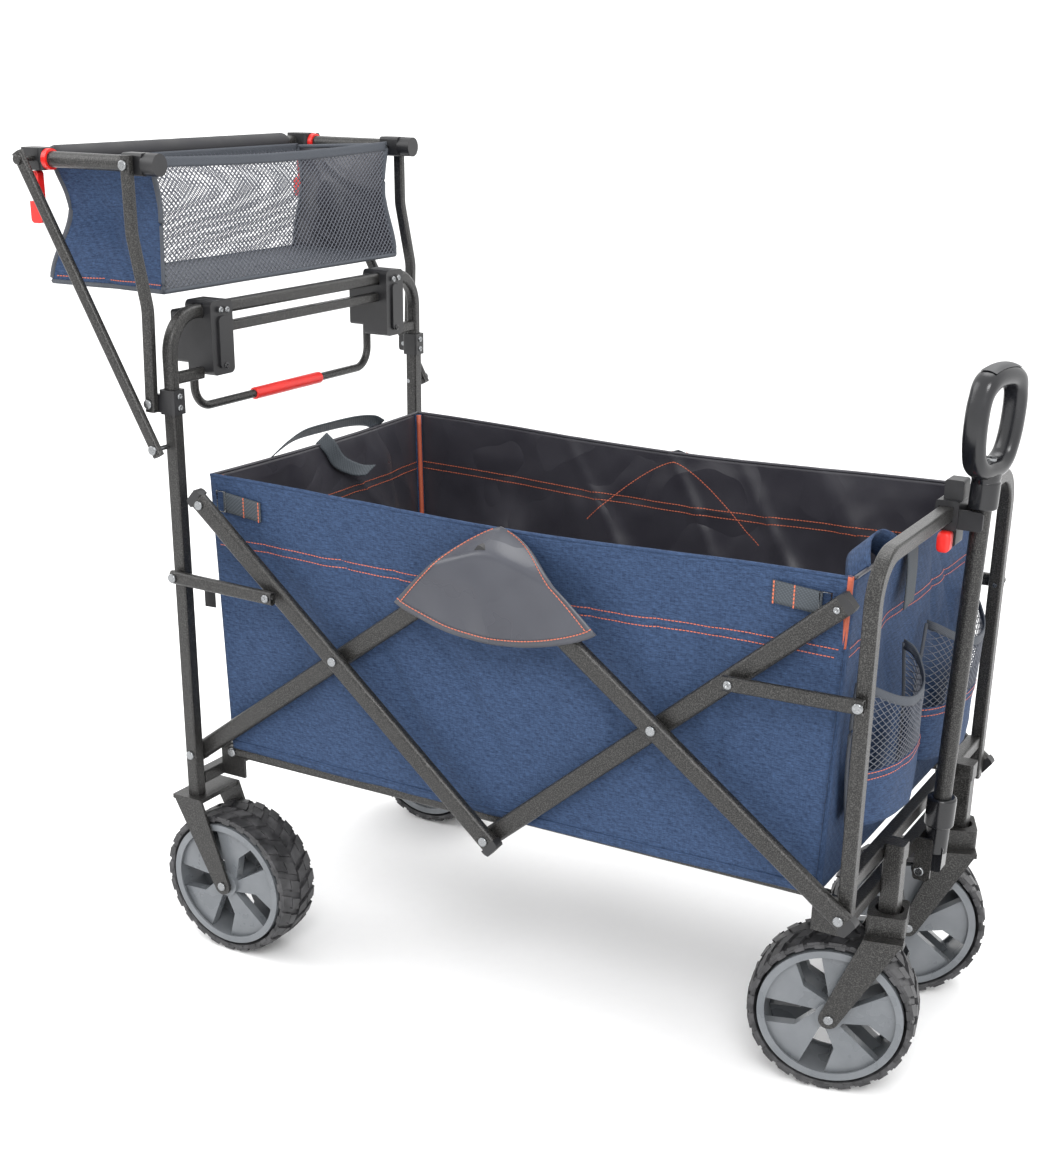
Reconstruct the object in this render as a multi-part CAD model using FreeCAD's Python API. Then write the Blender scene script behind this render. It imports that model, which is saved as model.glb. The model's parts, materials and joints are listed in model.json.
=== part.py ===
import FreeCAD, Part
import math
import os
from FreeCAD import Vector

# Folding push-pull wagon. Millimetres, +Z up, +X towards the pull handle, -Y is the right-hand side.
# Lengths along X are measured from the middle between the front and rear posts until the parts are saved.

# Frame and scissor pivots, as (x, z) in a side view
HALF_BASE = 450.0
POST_PIVOT_Z = 276.5
CROSS_PIVOT = (216.7, 450.1)
TOP_SCREW = (413.7, 619.2)
BOTTOM_HUB_Z = 260.5
LINK_BAR = (300.7, 520.6)
LINK_POST_Z = 523.4
TOP_HUB_Z = POST_PIVOT_Z + (CROSS_PIVOT[1] - POST_PIVOT_Z) * HALF_BASE / (HALF_BASE - CROSS_PIVOT[0])
FLOOR_PIVOT = (412.0, 275.0)

# Layers across the width, as distances from the middle plane
OUTER_BAR_Y = 266.3
INNER_BAR_Y = 248.6
REAR_POST_Y = 268.0
FRONT_POST_Y = 249.5
REAR_LINK_Y = 284.0
REAR_FLOOR_Y = 231.0
FRONT_FLOOR_Y = 217.0
BENT_STRUT_Y = 285.0
STRAIGHT_STRUT_Y = 298.5

# Sections
POST = 17.0
TUBE_WALL = 1.6
BAR_WIDTH = 24.0
BAR_DEPTH = 14.0
LINK_WIDTH = 17.0
LINK_DEPTH = 10.0
FLOOR_WIDTH = 14.0
FLOOR_DEPTH = 12.0
PIN_R = 4.0
SCREW_R = 3.0
FIT = 0.05
HEAD_R = 6.0
HEAD_H = 3.0

# Frame heights
REAR_TOP_Z = 847.0
REAR_JOINT_Z = 752.0
SECOND_BAR_Z = 822.0
FRONT_TOP_Z = 674.5
FRONT_POST_FOOT_Z = 256.0
REAR_CROSS_Z = 240.0
BEND_R = 48.0

# Wheels and forks
WHEEL_R = 100.1
RIM_R = 86.0
WHEEL_WIDTH = 68.5
HUB_R = 17.0
AXLE_R = 5.0
SPOKES = 5
REAR_AXLE_X = -400.7
REAR_WHEEL_Y = 245.6
REAR_PLATE_Z = 213.0
CASTER = (465.8, 136.7)
TRAIL = 55.0
CASTER_YAW = {"r": 12.7, "l": 22.0}
CASTER_PLATE_Z = 205.0
CROSS_FRONT_X = CASTER[0] - 11.0
LEG_GAP = 37.0
LEG_THICK = 4.0
STEM_R = 8.0

# Pull handle
HANDLE_PIVOT = (463.0, 232.4)
HANDLE_X = 474.0
HANDLE_LEAN = 1.5
BUTTON_STEM_R = 4.0
HANDLE_TUBE_R = 10.8
INNER_TUBE_R = 8.4
HANDLE_TOP_Z = 690.0
GRIP_Z = 716.0

# Push handle, struts and basket
CLAMP_PIVOT = (-469.0, 742.0)
STRAIGHT_FOOT = (-455.0, 689.0)
BENT_TOP = (-483.0, 1020.0)
STRAIGHT_TOP = (-638.0, 1021.0)
ARM_Y = 268.0
ARM_Z = 1020.5
ARM_R = 9.5
LATCH_PIVOT_Z = 1002.0
JOINT_FACE = 10.7
PUSH_BAR_X = -650.0
FOAM_R = 14.0
BASKET = (-633.0, -462.0, 250.0, 870.0, 1028.0)
BASKET_WALL = 4.0
BAIL_X = -480.0
BAIL_Y = 191.0
BAIL_Z = 720.0
BAIL_R = 5.5
BAIL_TOP_Z = 790.0
HOUSING_HALF = 21.0

# Fabric box
BAG_X = 425.0
BAG_Y = 236.0
BAG_FLOOR_Z = 283.0
BAG_TOP_Z = 650.0
POUCH_Y = 115.0
POUCH_HALF = 85.0
POUCH_FRONT_X = 470.0
POUCH_Z = (335.0, 545.0)
CLOTH = 3.0

SIDES = {"r": -1, "l": 1}


def box(x0, x1, y0, y1, z0, z1):
    low_y, high_y = min(y0, y1), max(y0, y1)
    return Part.makeBox(x1 - x0, high_y - low_y, z1 - z0, Vector(x0, low_y, z0))


def fillet_along(shape, axis, radius):
    edges = []
    for edge in shape.Edges:
        if edge.Curve.TypeId == "Part::GeomLine" and abs(edge.Curve.Direction.dot(axis)) > 0.99:
            edges.append(edge)
    return shape.makeFillet(radius, edges)


def round_box(x0, x1, y0, y1, z0, z1, axis, radius):
    return fillet_along(box(x0, x1, y0, y1, z0, z1), axis, radius)


def cylinder(start, end, radius):
    a, b = Vector(*start), Vector(*end)
    return Part.makeCylinder(radius, a.distanceToPoint(b), a, b - a)


def pin(x, y0, y1, z, radius):
    return cylinder((x, y0, z), (x, y1, z), radius)


def bolt(x, y_in, y_out, z, radius):
    """Round-headed bolt along Y with its head at y_out."""
    outward = 1 if y_out > y_in else -1
    head = pin(x, y_out, y_out + outward * HEAD_H, z, HEAD_R)
    rim_edge = max(head.Edges, key=lambda e: outward * e.BoundBox.YMax + e.Length / 1e3)
    head = head.makeFillet(HEAD_H * 0.6, [rim_edge])
    return pin(x, y_in, y_out, z, radius).fuse(head).removeSplitter()


def mirror_y(shape):
    return shape.mirror(Vector(0, 0, 0), Vector(0, 1, 0))


def both(shape):
    """The right-hand solid and its mirror image on the left, as one group."""
    return Part.Compound([shape, mirror_y(shape)])


def section(centre, tangent, normal, across_normal, across_side, radius):
    """Rounded rectangle or circle at centre, square to tangent."""
    side = tangent.cross(normal)
    if radius * 2 >= min(across_normal, across_side) - 1e-6:
        return Part.Wire(Part.makeCircle(across_normal / 2, centre, tangent))
    a, b = across_normal / 2, across_side / 2
    corners = [(a, b), (-a, b), (-a, -b), (a, -b)]
    edges = []
    for i, (u, v) in enumerate(corners):
        nu, nv = corners[(i + 1) % 4]
        length = math.hypot(nu - u, nv - v)
        du, dv = (nu - u) / length * radius, (nv - v) / length * radius
        start = centre + normal * (u + du) + side * (v + dv)
        end = centre + normal * (nu - du) + side * (nv - dv)
        edges.append(Part.makeLine(start, end))
        corner_u, corner_v = nu - math.copysign(radius, nu), nv - math.copysign(radius, nv)
        out_u, out_v = math.copysign(radius, nu) * math.sqrt(0.5), math.copysign(radius, nv) * math.sqrt(0.5)
        mid = centre + normal * (corner_u + out_u) + side * (corner_v + out_v)
        after_u, after_v = corners[(i + 2) % 4]
        next_len = math.hypot(after_u - nu, after_v - nv)
        leave = centre + normal * (nu + (after_u - nu) / next_len * radius)
        leave = leave + side * (nv + (after_v - nv) / next_len * radius)
        edges.append(Part.Arc(end, mid, leave).toShape())
    return Part.Wire(Part.__sortEdges__(edges))


def bent_path(points, bend):
    """Straight runs through the points, joined by tangent arcs."""
    pts = [Vector(*p) for p in points]
    edges = []
    start = pts[0]
    for before, corner, after in zip(pts, pts[1:], pts[2:]):
        u = (before - corner).normalize()
        v = (after - corner).normalize()
        half = math.acos(max(-1, min(1, u.dot(v)))) / 2
        reach = bend / math.tan(half)
        a, b = corner + u * reach, corner + v * reach
        toward = (u + v).normalize()
        mid = corner + toward * (bend / math.sin(half) - bend)
        edges.append(Part.makeLine(start, a))
        edges.append(Part.Arc(a, mid, b).toShape())
        start = b
    edges.append(Part.makeLine(start, pts[-1]))
    return Part.Wire(edges)


def swept(points, bend, normal, across_normal, across_side, radius):
    path = bent_path(points, bend)
    first = (Vector(*points[1]) - Vector(*points[0])).normalize()
    profile = section(Vector(*points[0]), first, Vector(*normal), across_normal, across_side, radius)
    return path.makePipeShell([profile], True, False)


def tube(points, bend, normal, across_normal, across_side, radius, wall):
    outer = swept(points, bend, normal, across_normal, across_side, radius)
    inner_radius = max(radius - wall, 0.4)
    inner = swept(points, bend, normal, across_normal - 2 * wall, across_side - 2 * wall, inner_radius)
    return outer.cut(inner)


def side_bar(start, end, y, width, depth, overrun, holes, radius=PIN_R):
    """Oval tube between two side-view points, drilled across for its pivots."""
    length = math.hypot(end[0] - start[0], end[1] - start[1])
    angle = math.degrees(math.atan2(end[1] - start[1], end[0] - start[0]))
    outer = box(-overrun, length + overrun, -depth / 2, depth / 2, -width / 2, width / 2)
    outer = fillet_along(outer, Vector(1, 0, 0), depth * 0.42)
    w, d = width / 2 - TUBE_WALL, depth / 2 - TUBE_WALL
    inner = box(-overrun - 1, length + overrun + 1, -d, d, -w, w)
    inner = fillet_along(inner, Vector(1, 0, 0), depth * 0.42 - TUBE_WALL)
    bar = outer.cut(inner)
    bar.rotate(Vector(0, 0, 0), Vector(0, -1, 0), angle)
    bar.translate(Vector(start[0], y, start[1]))
    for x, z in holes:
        bar = bar.cut(pin(x, y - depth, y + depth, z, radius + FIT))
    return bar


def end_cap(at, toward, y, width, depth, overrun, radius=PIN_R):
    """Moulded cap closing a bar's end, round at its tip, with a plug inside the tube."""
    angle = math.degrees(math.atan2(at[1] - toward[1], at[0] - toward[0]))
    tip = width / 2
    shell = box(overrun, overrun + 3, -depth / 2, depth / 2, -tip, tip)
    nose = Part.makeCylinder(tip, depth, Vector(overrun + 3, -depth / 2, 0), Vector(0, 1, 0))
    nose = nose.common(box(overrun + 2, overrun + 3 + tip * 0.62, -depth, depth, -tip, tip))
    w, d = width / 2 - TUBE_WALL - FIT, depth / 2 - TUBE_WALL - FIT
    plug = fillet_along(box(-18, overrun + 1, -d, d, -w, w), Vector(1, 0, 0), depth * 0.42 - TUBE_WALL)
    cap = shell.fuse(nose).fuse(plug).removeSplitter()
    cap = cap.cut(Part.makeCylinder(radius + FIT, depth * 2, Vector(0, -depth, 0), Vector(0, 1, 0)))
    cap.rotate(Vector(0, 0, 0), Vector(0, -1, 0), angle)
    cap.translate(Vector(at[0], y, at[1]))
    return cap


# ---------------------------------------------------------------- rear frame

def rear_posts():
    y = -REAR_POST_Y
    half = POST / 2
    x0, x1 = -HALF_BASE - half, -HALF_BASE + half
    post = round_box(x0, x1, y - half, y + half, REAR_PLATE_Z + 6, REAR_JOINT_Z - 8, Vector(0, 0, 1), 2.5)
    w = half - TUBE_WALL
    bore = box(-HALF_BASE - w, -HALF_BASE + w, y - w, y + w, REAR_PLATE_Z + 5, REAR_JOINT_Z)
    post = post.cut(bore)
    holes = [(-HALF_BASE, POST_PIVOT_Z, PIN_R), (-HALF_BASE, LINK_POST_Z, SCREW_R), (*STRAIGHT_FOOT, SCREW_R)]
    for x, z, r in holes:
        post = post.cut(pin(x, y - POST, y + POST, z, r + FIT))
    return both(post)


def rear_upper_frame():
    y, foot = REAR_POST_Y, REAR_JOINT_Z - 7.5
    points = [(-HALF_BASE, *yz) for yz in ((-y, foot), (-y, REAR_TOP_Z), (y, REAR_TOP_Z), (y, foot))]
    return tube(points, BEND_R, (1, 0, 0), POST - 1, POST - 1, 5.0, TUBE_WALL)


def rear_side_stubs():
    y0, y1 = -REAR_POST_Y + POST / 2 - 0.4, -BAIL_Y - HOUSING_HALF - 0.5
    return both(round_box(-HALF_BASE - 6, -HALF_BASE + 6, y0, y1, 764, 778, Vector(0, 1, 0), 3))


def rear_second_bar():
    reach = BAIL_Y - HOUSING_HALF - 0.5
    z0, z1 = SECOND_BAR_Z - 6, SECOND_BAR_Z + 6
    return round_box(-HALF_BASE - 7, -HALF_BASE + 7, -reach, reach, z0, z1, Vector(0, 1, 0), 2.5)


def rear_cross_tube():
    x, z = -HALF_BASE, REAR_CROSS_Z
    half = POST / 2
    reach = REAR_POST_Y - half
    w = half - TUBE_WALL
    outer = round_box(x - half, x + half, -reach, reach, z - half, z + half, Vector(0, 1, 0), 2.5)
    return outer.cut(box(x - w, x + w, -reach - 1, reach + 1, z - w, z + w))


def floor_lug(x_sign, y_in, y_out):
    """Upright plate that carries a floor rail's pivot."""
    px, pz = FLOOR_PIVOT
    x_far = x_sign * (HALF_BASE - POST / 2)
    x_near = x_sign * (px - 8)
    plate = box(min(x_far, x_near), max(x_far, x_near), y_in, y_out, REAR_CROSS_Z - 6, pz + 7)
    plate = plate.cut(pin(x_sign * px, y_in - 1, y_out + 1, pz, SCREW_R + FIT))
    return plate


def rear_cross_members():
    """Lower cross tube with its rail lugs, and the short stubs and second bar under the top bar."""
    groups = (rear_cross_tube(), both(floor_lug(-1, -223.5, -219.5)), rear_side_stubs(), rear_second_bar())
    return Part.Compound([solid for group in groups for solid in group.Solids])


def frame_clamps():
    """Clamp over the joint in each post, with an ear behind for the bent strut."""
    y, x = -REAR_POST_Y, -HALF_BASE
    half = POST / 2
    shell = round_box(x - half - 3, x + half + 3, y - half - 3, y + half + 3, 729, 759, Vector(0, 0, 1), 3)
    ear = round_box(CLAMP_PIVOT[0] - 11, x, y - half - 3, y - half + 3, 731, 753, Vector(0, 1, 0), 4)
    clamp = shell.fuse(ear)
    clamp = clamp.cut(round_box(x - half - 0.1, x + half + 0.1, y - half - 0.1, y + half + 0.1, 720, 770,
                                Vector(0, 0, 1), 2.4))
    clamp = clamp.cut(pin(CLAMP_PIVOT[0], y - POST, y + POST, CLAMP_PIVOT[1], SCREW_R + FIT))
    return both(clamp.removeSplitter())


def lock_housings():
    """Moulded boxes on the top bar that guide the release bail's legs."""
    y0, y1 = -BAIL_Y - HOUSING_HALF, -BAIL_Y + HOUSING_HALF
    front = round_box(-470, -430, y0, y1, 768, 859, Vector(1, 0, 0), 7)
    back = round_box(BAIL_X - 14, -469, y0, y1, 781, 845, Vector(1, 0, 0), 4)
    housing = front.fuse(back)
    x, z, half = -HALF_BASE, REAR_TOP_Z, POST / 2 - 0.4
    housing = housing.cut(box(x - half, x + half, y0 - 1, y1 + 1, z - half, z + half))
    guide = cylinder((BAIL_X, -BAIL_Y, 760), (BAIL_X, -BAIL_Y, 836), BAIL_R + 2)
    rib = round_box(-431, -427, -BAIL_Y - 9, -BAIL_Y + 9, 776, 840, Vector(1, 0, 0), 6)
    housing = housing.fuse(rib).cut(guide)
    return both(housing.removeSplitter())


def fork_leg(top_back, top_front, top_z, axle_x, axle_z, y0, y1):
    tip = 12.0
    ux, uz = axle_x - (top_back + top_front) / 2, axle_z - top_z
    length = math.hypot(ux, uz)
    nx, nz = -uz / length * tip, ux / length * tip
    outline = [(top_back, top_z), (top_front, top_z), (axle_x + nx, axle_z + nz), (axle_x - nx, axle_z - nz)]
    wire = Part.makePolygon([Vector(x, y0, z) for x, z in outline + outline[:1]])
    plate = Part.Face(wire).extrude(Vector(0, y1 - y0, 0))
    plate = plate.fuse(pin(axle_x, y0, y1, axle_z, tip))
    return plate.cut(pin(axle_x, y0 - 1, y1 + 1, axle_z, AXLE_R + FIT)).removeSplitter()


def rear_forks():
    y_mid = -REAR_WHEEL_Y
    outer, inner = y_mid - LEG_GAP, y_mid + LEG_GAP
    fork = box(-476, -430, outer - LEG_THICK, inner + LEG_THICK, REAR_PLATE_Z, REAR_PLATE_Z + 6)
    for y0, y1 in ((outer - LEG_THICK, outer), (inner, inner + LEG_THICK)):
        fork = fork.fuse(fork_leg(-476, -430, REAR_PLATE_Z + 6, REAR_AXLE_X, WHEEL_R, y0, y1))
    return both(fork.removeSplitter())


def rear_bolts():
    """Axle, scissor, link, strut and clamp bolts fixed in the rear frame, as separate solids."""
    y_mid = -REAR_WHEEL_Y
    reach = LEG_GAP + LEG_THICK
    bolts = [bolt(REAR_AXLE_X, y_mid + reach + 6, y_mid - reach, WHEEL_R, AXLE_R)]
    floor_head = -REAR_FLOOR_Y - FLOOR_DEPTH / 2 - 0.3
    inside = -REAR_POST_Y + 8
    bolts.append(bolt(-HALF_BASE, -INNER_BAR_Y + BAR_DEPTH / 2 + 2, -REAR_POST_Y - POST / 2, POST_PIVOT_Z,
                      PIN_R))
    bolts.append(bolt(-HALF_BASE, inside, -REAR_LINK_Y - LINK_DEPTH / 2 - 0.5, LINK_POST_Z, SCREW_R))
    bolts.append(bolt(STRAIGHT_FOOT[0], inside, -STRAIGHT_STRUT_Y - 5.5, STRAIGHT_FOOT[1], SCREW_R))
    bolts.append(bolt(CLAMP_PIVOT[0], -REAR_POST_Y, -BENT_STRUT_Y - 6.0, CLAMP_PIVOT[1], SCREW_R))
    bolts.append(bolt(-FLOOR_PIVOT[0], -218.0, floor_head, FLOOR_PIVOT[1], SCREW_R))
    return Part.Compound([solid for one in bolts for solid in (one, mirror_y(one))])


# ---------------------------------------------------------------- release bail

def bail_rod():
    y, top = BAIL_Y, BAIL_TOP_Z
    points = [(BAIL_X, *yz) for yz in ((-y, top), (-y, BAIL_Z), (y, BAIL_Z), (y, top))]
    return swept(points, 28.0, (1, 0, 0), 2 * BAIL_R, 2 * BAIL_R, BAIL_R)


def bail_grip():
    outer = cylinder((BAIL_X, -73, BAIL_Z), (BAIL_X, 73, BAIL_Z), 8.0)
    outer = outer.makeFillet(2.0, [e for e in outer.Edges if e.Curve.TypeId == "Part::GeomCircle"])
    return outer.cut(cylinder((BAIL_X, -80, BAIL_Z), (BAIL_X, 80, BAIL_Z), BAIL_R))


def bail_springs():
    sleeve = cylinder((BAIL_X, -BAIL_Y, BAIL_TOP_Z + 0.5), (BAIL_X, -BAIL_Y, 835.5), BAIL_R)
    return both(sleeve.cut(cylinder((BAIL_X, -BAIL_Y, 780), (BAIL_X, -BAIL_Y, 840), BAIL_R - 1.5)))


# ---------------------------------------------------------------- scissor bars

def points_of(x_sign):
    return {
        "post": (x_sign * HALF_BASE, POST_PIVOT_Z),
        "cross": (x_sign * CROSS_PIVOT[0], CROSS_PIVOT[1]),
        "top": (x_sign * TOP_SCREW[0], TOP_SCREW[1]),
        "link": (x_sign * LINK_BAR[0], LINK_BAR[1]),
        "link_post": (x_sign * HALF_BASE, LINK_POST_Z),
        "floor": (x_sign * FLOOR_PIVOT[0], FLOOR_PIVOT[1]),
    }


BOTTOM_HUB = (0.0, BOTTOM_HUB_Z)
TOP_HUB = (0.0, TOP_HUB_Z)


def low_bars(x_sign, y):
    """Bars from the posts' feet to the top hub."""
    p = points_of(x_sign)
    holes = [p["post"], p["cross"], TOP_HUB]
    return both(side_bar(p["post"], TOP_HUB, -y, BAR_WIDTH, BAR_DEPTH, 7, holes))


def high_bars(x_sign, y):
    """Bars from the posts' tops to the bottom hub."""
    p = points_of(x_sign)
    holes = [p["top"], p["cross"], BOTTOM_HUB]
    return both(side_bar(p["top"], BOTTOM_HUB, -y, BAR_WIDTH, BAR_DEPTH, 7, holes))


def caps(ends, y):
    solids = [end_cap(at, toward, -y, BAR_WIDTH, BAR_DEPTH, 7) for at, toward in ends]
    return Part.Compound([solid for one in solids for solid in (one, mirror_y(one))])


def pins(rows):
    solids = [bolt(x, y_in, y_out, z, r) for x, z, y_in, y_out, r in rows]
    return Part.Compound([solid for one in solids for solid in (one, mirror_y(one))])


def links(x_sign, y):
    p = points_of(x_sign)
    ends = [p["link_post"], p["link"]]
    return both(side_bar(*ends, -y, LINK_WIDTH, LINK_DEPTH, 5, ends, SCREW_R))


def floor_rails(x_sign, y):
    p = points_of(x_sign)
    middle = (0.0, FLOOR_PIVOT[1])
    return both(side_bar(p["floor"], middle, -y, FLOOR_WIDTH, FLOOR_DEPTH, 7, [p["floor"]], SCREW_R))


# ---------------------------------------------------------------- front frame

def front_frame_tube():
    x, y, foot = HALF_BASE, FRONT_POST_Y, FRONT_POST_FOOT_Z
    points = [(x, -y, foot), (x, -y, FRONT_TOP_Z), (x, y, FRONT_TOP_Z), (x, y, foot)]
    frame = tube(points, BEND_R, (1, 0, 0), POST, POST, 3.0, TUBE_WALL)
    for s in SIDES.values():
        for z, r in ((POST_PIVOT_Z, PIN_R), (LINK_POST_Z, SCREW_R)):
            frame = frame.cut(pin(x, s * y - POST, s * y + POST, z, r + FIT))
    return frame


def front_cross_tubes():
    reach = FRONT_POST_Y - POST / 2
    bars = []
    for z in (264.0, 308.0):
        outer = round_box(438, CROSS_FRONT_X, -reach, reach, z - 8, z + 8, Vector(0, 1, 0), 2.5)
        bars.append(outer.cut(box(440, CROSS_FRONT_X - 2, -reach - 1, reach + 1, z - 6, z + 6)))
    return Part.Compound(bars)


def front_cross_members():
    """Lower cross tubes with their rail lugs and the pull handle's bracket."""
    lugs = both(floor_lug(1, -229.0, -225.0))
    return Part.Compound(front_cross_tubes().Solids + lugs.Solids + handle_bracket().Solids)


def caster_heads():
    x, y = CASTER[0], -CASTER[1]
    head = round_box(CROSS_FRONT_X, x + 11, y - 11, y + 11, 232, 304, Vector(0, 0, 1), 2.5)
    cap = round_box(CROSS_FRONT_X + 0.5, x + 12.5, y - 12.5, y + 12.5, 300, 321, Vector(0, 0, 1), 4)
    neck = cylinder((x, y, 223), (x, y, 233), 11.5)
    head = head.fuse(cap).fuse(neck).removeSplitter()
    return both(head.cut(cylinder((x, y, 200), (x, y, 296), STEM_R + FIT)))


def handle_bracket():
    x, z = HANDLE_PIVOT
    bracket = box(CROSS_FRONT_X, CROSS_FRONT_X + 3, -19, 19, 256, 276)
    for y in (-19, 15):
        ear = round_box(CROSS_FRONT_X, x + 13, y, y + 4, z - 12, 276, Vector(0, 1, 0), 5)
        bracket = bracket.fuse(ear)
    return bracket.cut(pin(x, -30, 30, z, PIN_R + FIT)).removeSplitter()


def handle_clip():
    """Snap clip on the top bar; its two jaws hold the pull handle's tube and open to the front."""
    half = POST / 2
    body = round_box(HALF_BASE - half - 4, HALF_BASE + half + 6, -20, 20, 656, 690, Vector(0, 1, 0), 4)
    tab = round_box(HALF_BASE - 6, HALF_BASE + 16, -12, 12, 688, 712, Vector(0, 1, 0), 3)
    foot = round_box(HALF_BASE - 6, HALF_BASE + 12, -10.5, 18, 636, 658, Vector(0, 1, 0), 3)
    clip = body.fuse(tab).fuse(foot)
    for y in (-17, 12):
        clip = clip.fuse(round_box(HALF_BASE + half, 492, y, y + 5, 658, 680, Vector(0, 1, 0), 4))
    slot = half + 0.1
    clip = clip.cut(box(HALF_BASE - slot, HALF_BASE + slot, -30, 30, FRONT_TOP_Z - slot, FRONT_TOP_Z + slot))
    clip = clip.cut(pin(HALF_BASE + 3, -20, 4, 646, BUTTON_STEM_R + FIT))
    return clip.removeSplitter()


def front_bolts():
    bolts = [bolt(HALF_BASE, -FRONT_POST_Y + 8, -OUTER_BAR_Y - BAR_DEPTH / 2, POST_PIVOT_Z, PIN_R)]
    link_head = -OUTER_BAR_Y - LINK_DEPTH / 2 - 0.5
    bolts.append(bolt(HALF_BASE, -FRONT_POST_Y + 8, link_head, LINK_POST_Z, SCREW_R))
    bolts.append(bolt(FLOOR_PIVOT[0], -210.0, -229.0, FLOOR_PIVOT[1], SCREW_R))
    group = [solid for one in bolts for solid in (one, mirror_y(one))]
    group.append(bolt(HANDLE_PIVOT[0], 19, -19, HANDLE_PIVOT[1], PIN_R))
    return Part.Compound(group)


def clip_button():
    x = HALF_BASE + 3
    button = pin(x, -31, -15, 646, 9.5)
    button = button.makeFillet(3.0, [e for e in button.Edges if e.BoundBox.YMax < -30])
    return button.fuse(pin(x, -16, -1, 646, BUTTON_STEM_R))


# ---------------------------------------------------------------- casters and wheels

def caster_centre(side):
    s = SIDES[side]
    yaw = math.radians(CASTER_YAW[side])
    return (CASTER[0] - TRAIL * math.cos(yaw), s * CASTER[1] - TRAIL * math.sin(yaw))


def to_caster(shape, side):
    """Turns a shape built on the swivel axis to its resting yaw and moves it onto the caster."""
    shape.rotate(Vector(0, 0, 0), Vector(0, 0, 1), CASTER_YAW[side])
    shape.translate(Vector(CASTER[0], SIDES[side] * CASTER[1], 0))
    return shape


def caster_fork(side):
    outer = LEG_GAP + LEG_THICK
    fork = box(-24, 21, -outer, outer, CASTER_PLATE_Z, CASTER_PLATE_Z + 6)
    for y0, y1 in ((-outer, -LEG_GAP), (LEG_GAP, outer)):
        fork = fork.fuse(fork_leg(-24, 21, CASTER_PLATE_Z + 6, -TRAIL, WHEEL_R, y0, y1))
    cover = round_box(-24, 21, -26, 26, CASTER_PLATE_Z + 5, 236, Vector(0, 0, 1), 6)
    cover = cover.cut(cylinder((0, 0, 220), (0, 0, 240), 16.5))
    stem = cylinder((0, 0, CASTER_PLATE_Z), (0, 0, 292), STEM_R)
    return to_caster(fork.fuse(cover).fuse(stem).removeSplitter(), side)


def caster_axle(side):
    reach = LEG_GAP + LEG_THICK
    return to_caster(bolt(-TRAIL, reach + 6, -reach, WHEEL_R, AXLE_R), side)


def tyre():
    half = WHEEL_WIDTH / 2
    ring = pin(0, -half, half, 0, WHEEL_R)
    ring = ring.makeFillet(9.0, [e for e in ring.Edges if e.Curve.TypeId == "Part::GeomCircle"])
    return ring.cut(pin(0, -half - 1, half + 1, 0, RIM_R))


def spoke_outline(i, turn):
    """Spoke that widens to the rim on one side, like a pinwheel's blade; it runs on past the rim to be trimmed."""
    base = 2 * math.pi * i / SPOKES
    corners = ((HUB_R - 3, -52), (46, -8), (RIM_R - 5, -19), (RIM_R + 9, -20), (RIM_R + 9, 30), (HUB_R - 3, 22))
    angles = [(r, base + turn * math.radians(degrees)) for r, degrees in corners]
    return [(r * math.cos(a), r * math.sin(a)) for r, a in angles]


def rim(turn):
    half = WHEEL_WIDTH / 2
    barrel = pin(0, -half + 3, half - 3, 0, RIM_R).cut(pin(0, -half, half, 0, RIM_R - 5))
    hub = pin(0, -half + 1, half - 1, 0, HUB_R)
    wheel = barrel.fuse(hub)
    for side in (-1, 1):
        lip = pin(0, side * (half - 3), side * (half - 0.5), 0, RIM_R - 0.2)
        wheel = wheel.fuse(lip.cut(pin(0, -half, half, 0, RIM_R - 9)))
        for i in range(SPOKES):
            outline = spoke_outline(i, turn)
            y0, y1 = side * (half - 20), side * (half - 7)
            wire = Part.makePolygon([Vector(x, y0, z) for x, z in outline + outline[:1]])
            spoke = Part.Face(wire).extrude(Vector(0, y1 - y0, 0))
            wheel = wheel.fuse(spoke.common(pin(0, -half, half, 0, RIM_R - 2)))
    return wheel.cut(pin(0, -half, half, 0, AXLE_R + FIT)).removeSplitter()


def wheel_place(shape, where, side):
    if where == "rear":
        shape.translate(Vector(REAR_AXLE_X, SIDES[side] * REAR_WHEEL_Y, WHEEL_R))
        return shape
    shape.translate(Vector(-TRAIL, 0, WHEEL_R))
    return to_caster(shape, side)


# ---------------------------------------------------------------- pull handle

def lean(shape):
    shape.rotate(Vector(HANDLE_PIVOT[0], 0, HANDLE_PIVOT[1]), Vector(0, 1, 0), HANDLE_LEAN)
    return shape


def handle_base():
    x, z = HANDLE_PIVOT
    barrel = pin(x, -14.5, 14.5, z, 11.5)
    neck = round_box(x - 1, HANDLE_X + 12, -10, 10, z, z + 34, Vector(0, 1, 0), 4)
    socket = cylinder((HANDLE_X, 0, z + 24), (HANDLE_X, 0, 292), 14.0)
    collar = cylinder((HANDLE_X, 0, 290), (HANDLE_X, 0, 328), 17.5)
    collar = collar.makeFillet(3.0, [e for e in collar.Edges if e.Curve.TypeId == "Part::GeomCircle"])
    base = barrel.fuse(neck).fuse(socket).fuse(collar)
    base = base.cut(pin(x, -20, 20, z, PIN_R + FIT))
    base = base.cut(cylinder((HANDLE_X, 0, 286), (HANDLE_X, 0, 340), HANDLE_TUBE_R + FIT))
    return lean(base.removeSplitter())


def handle_tube():
    outer = cylinder((HANDLE_X, 0, 286.1), (HANDLE_X, 0, HANDLE_TOP_Z), HANDLE_TUBE_R)
    return lean(outer.cut(cylinder((HANDLE_X, 0, 280), (HANDLE_X, 0, 700), INNER_TUBE_R + 0.4)))


def handle_fittings():
    """The pivoting foot with its lower collar, and the collar at the tube's mouth."""
    return Part.Compound(handle_base().Solids + handle_collar().Solids)


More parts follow.
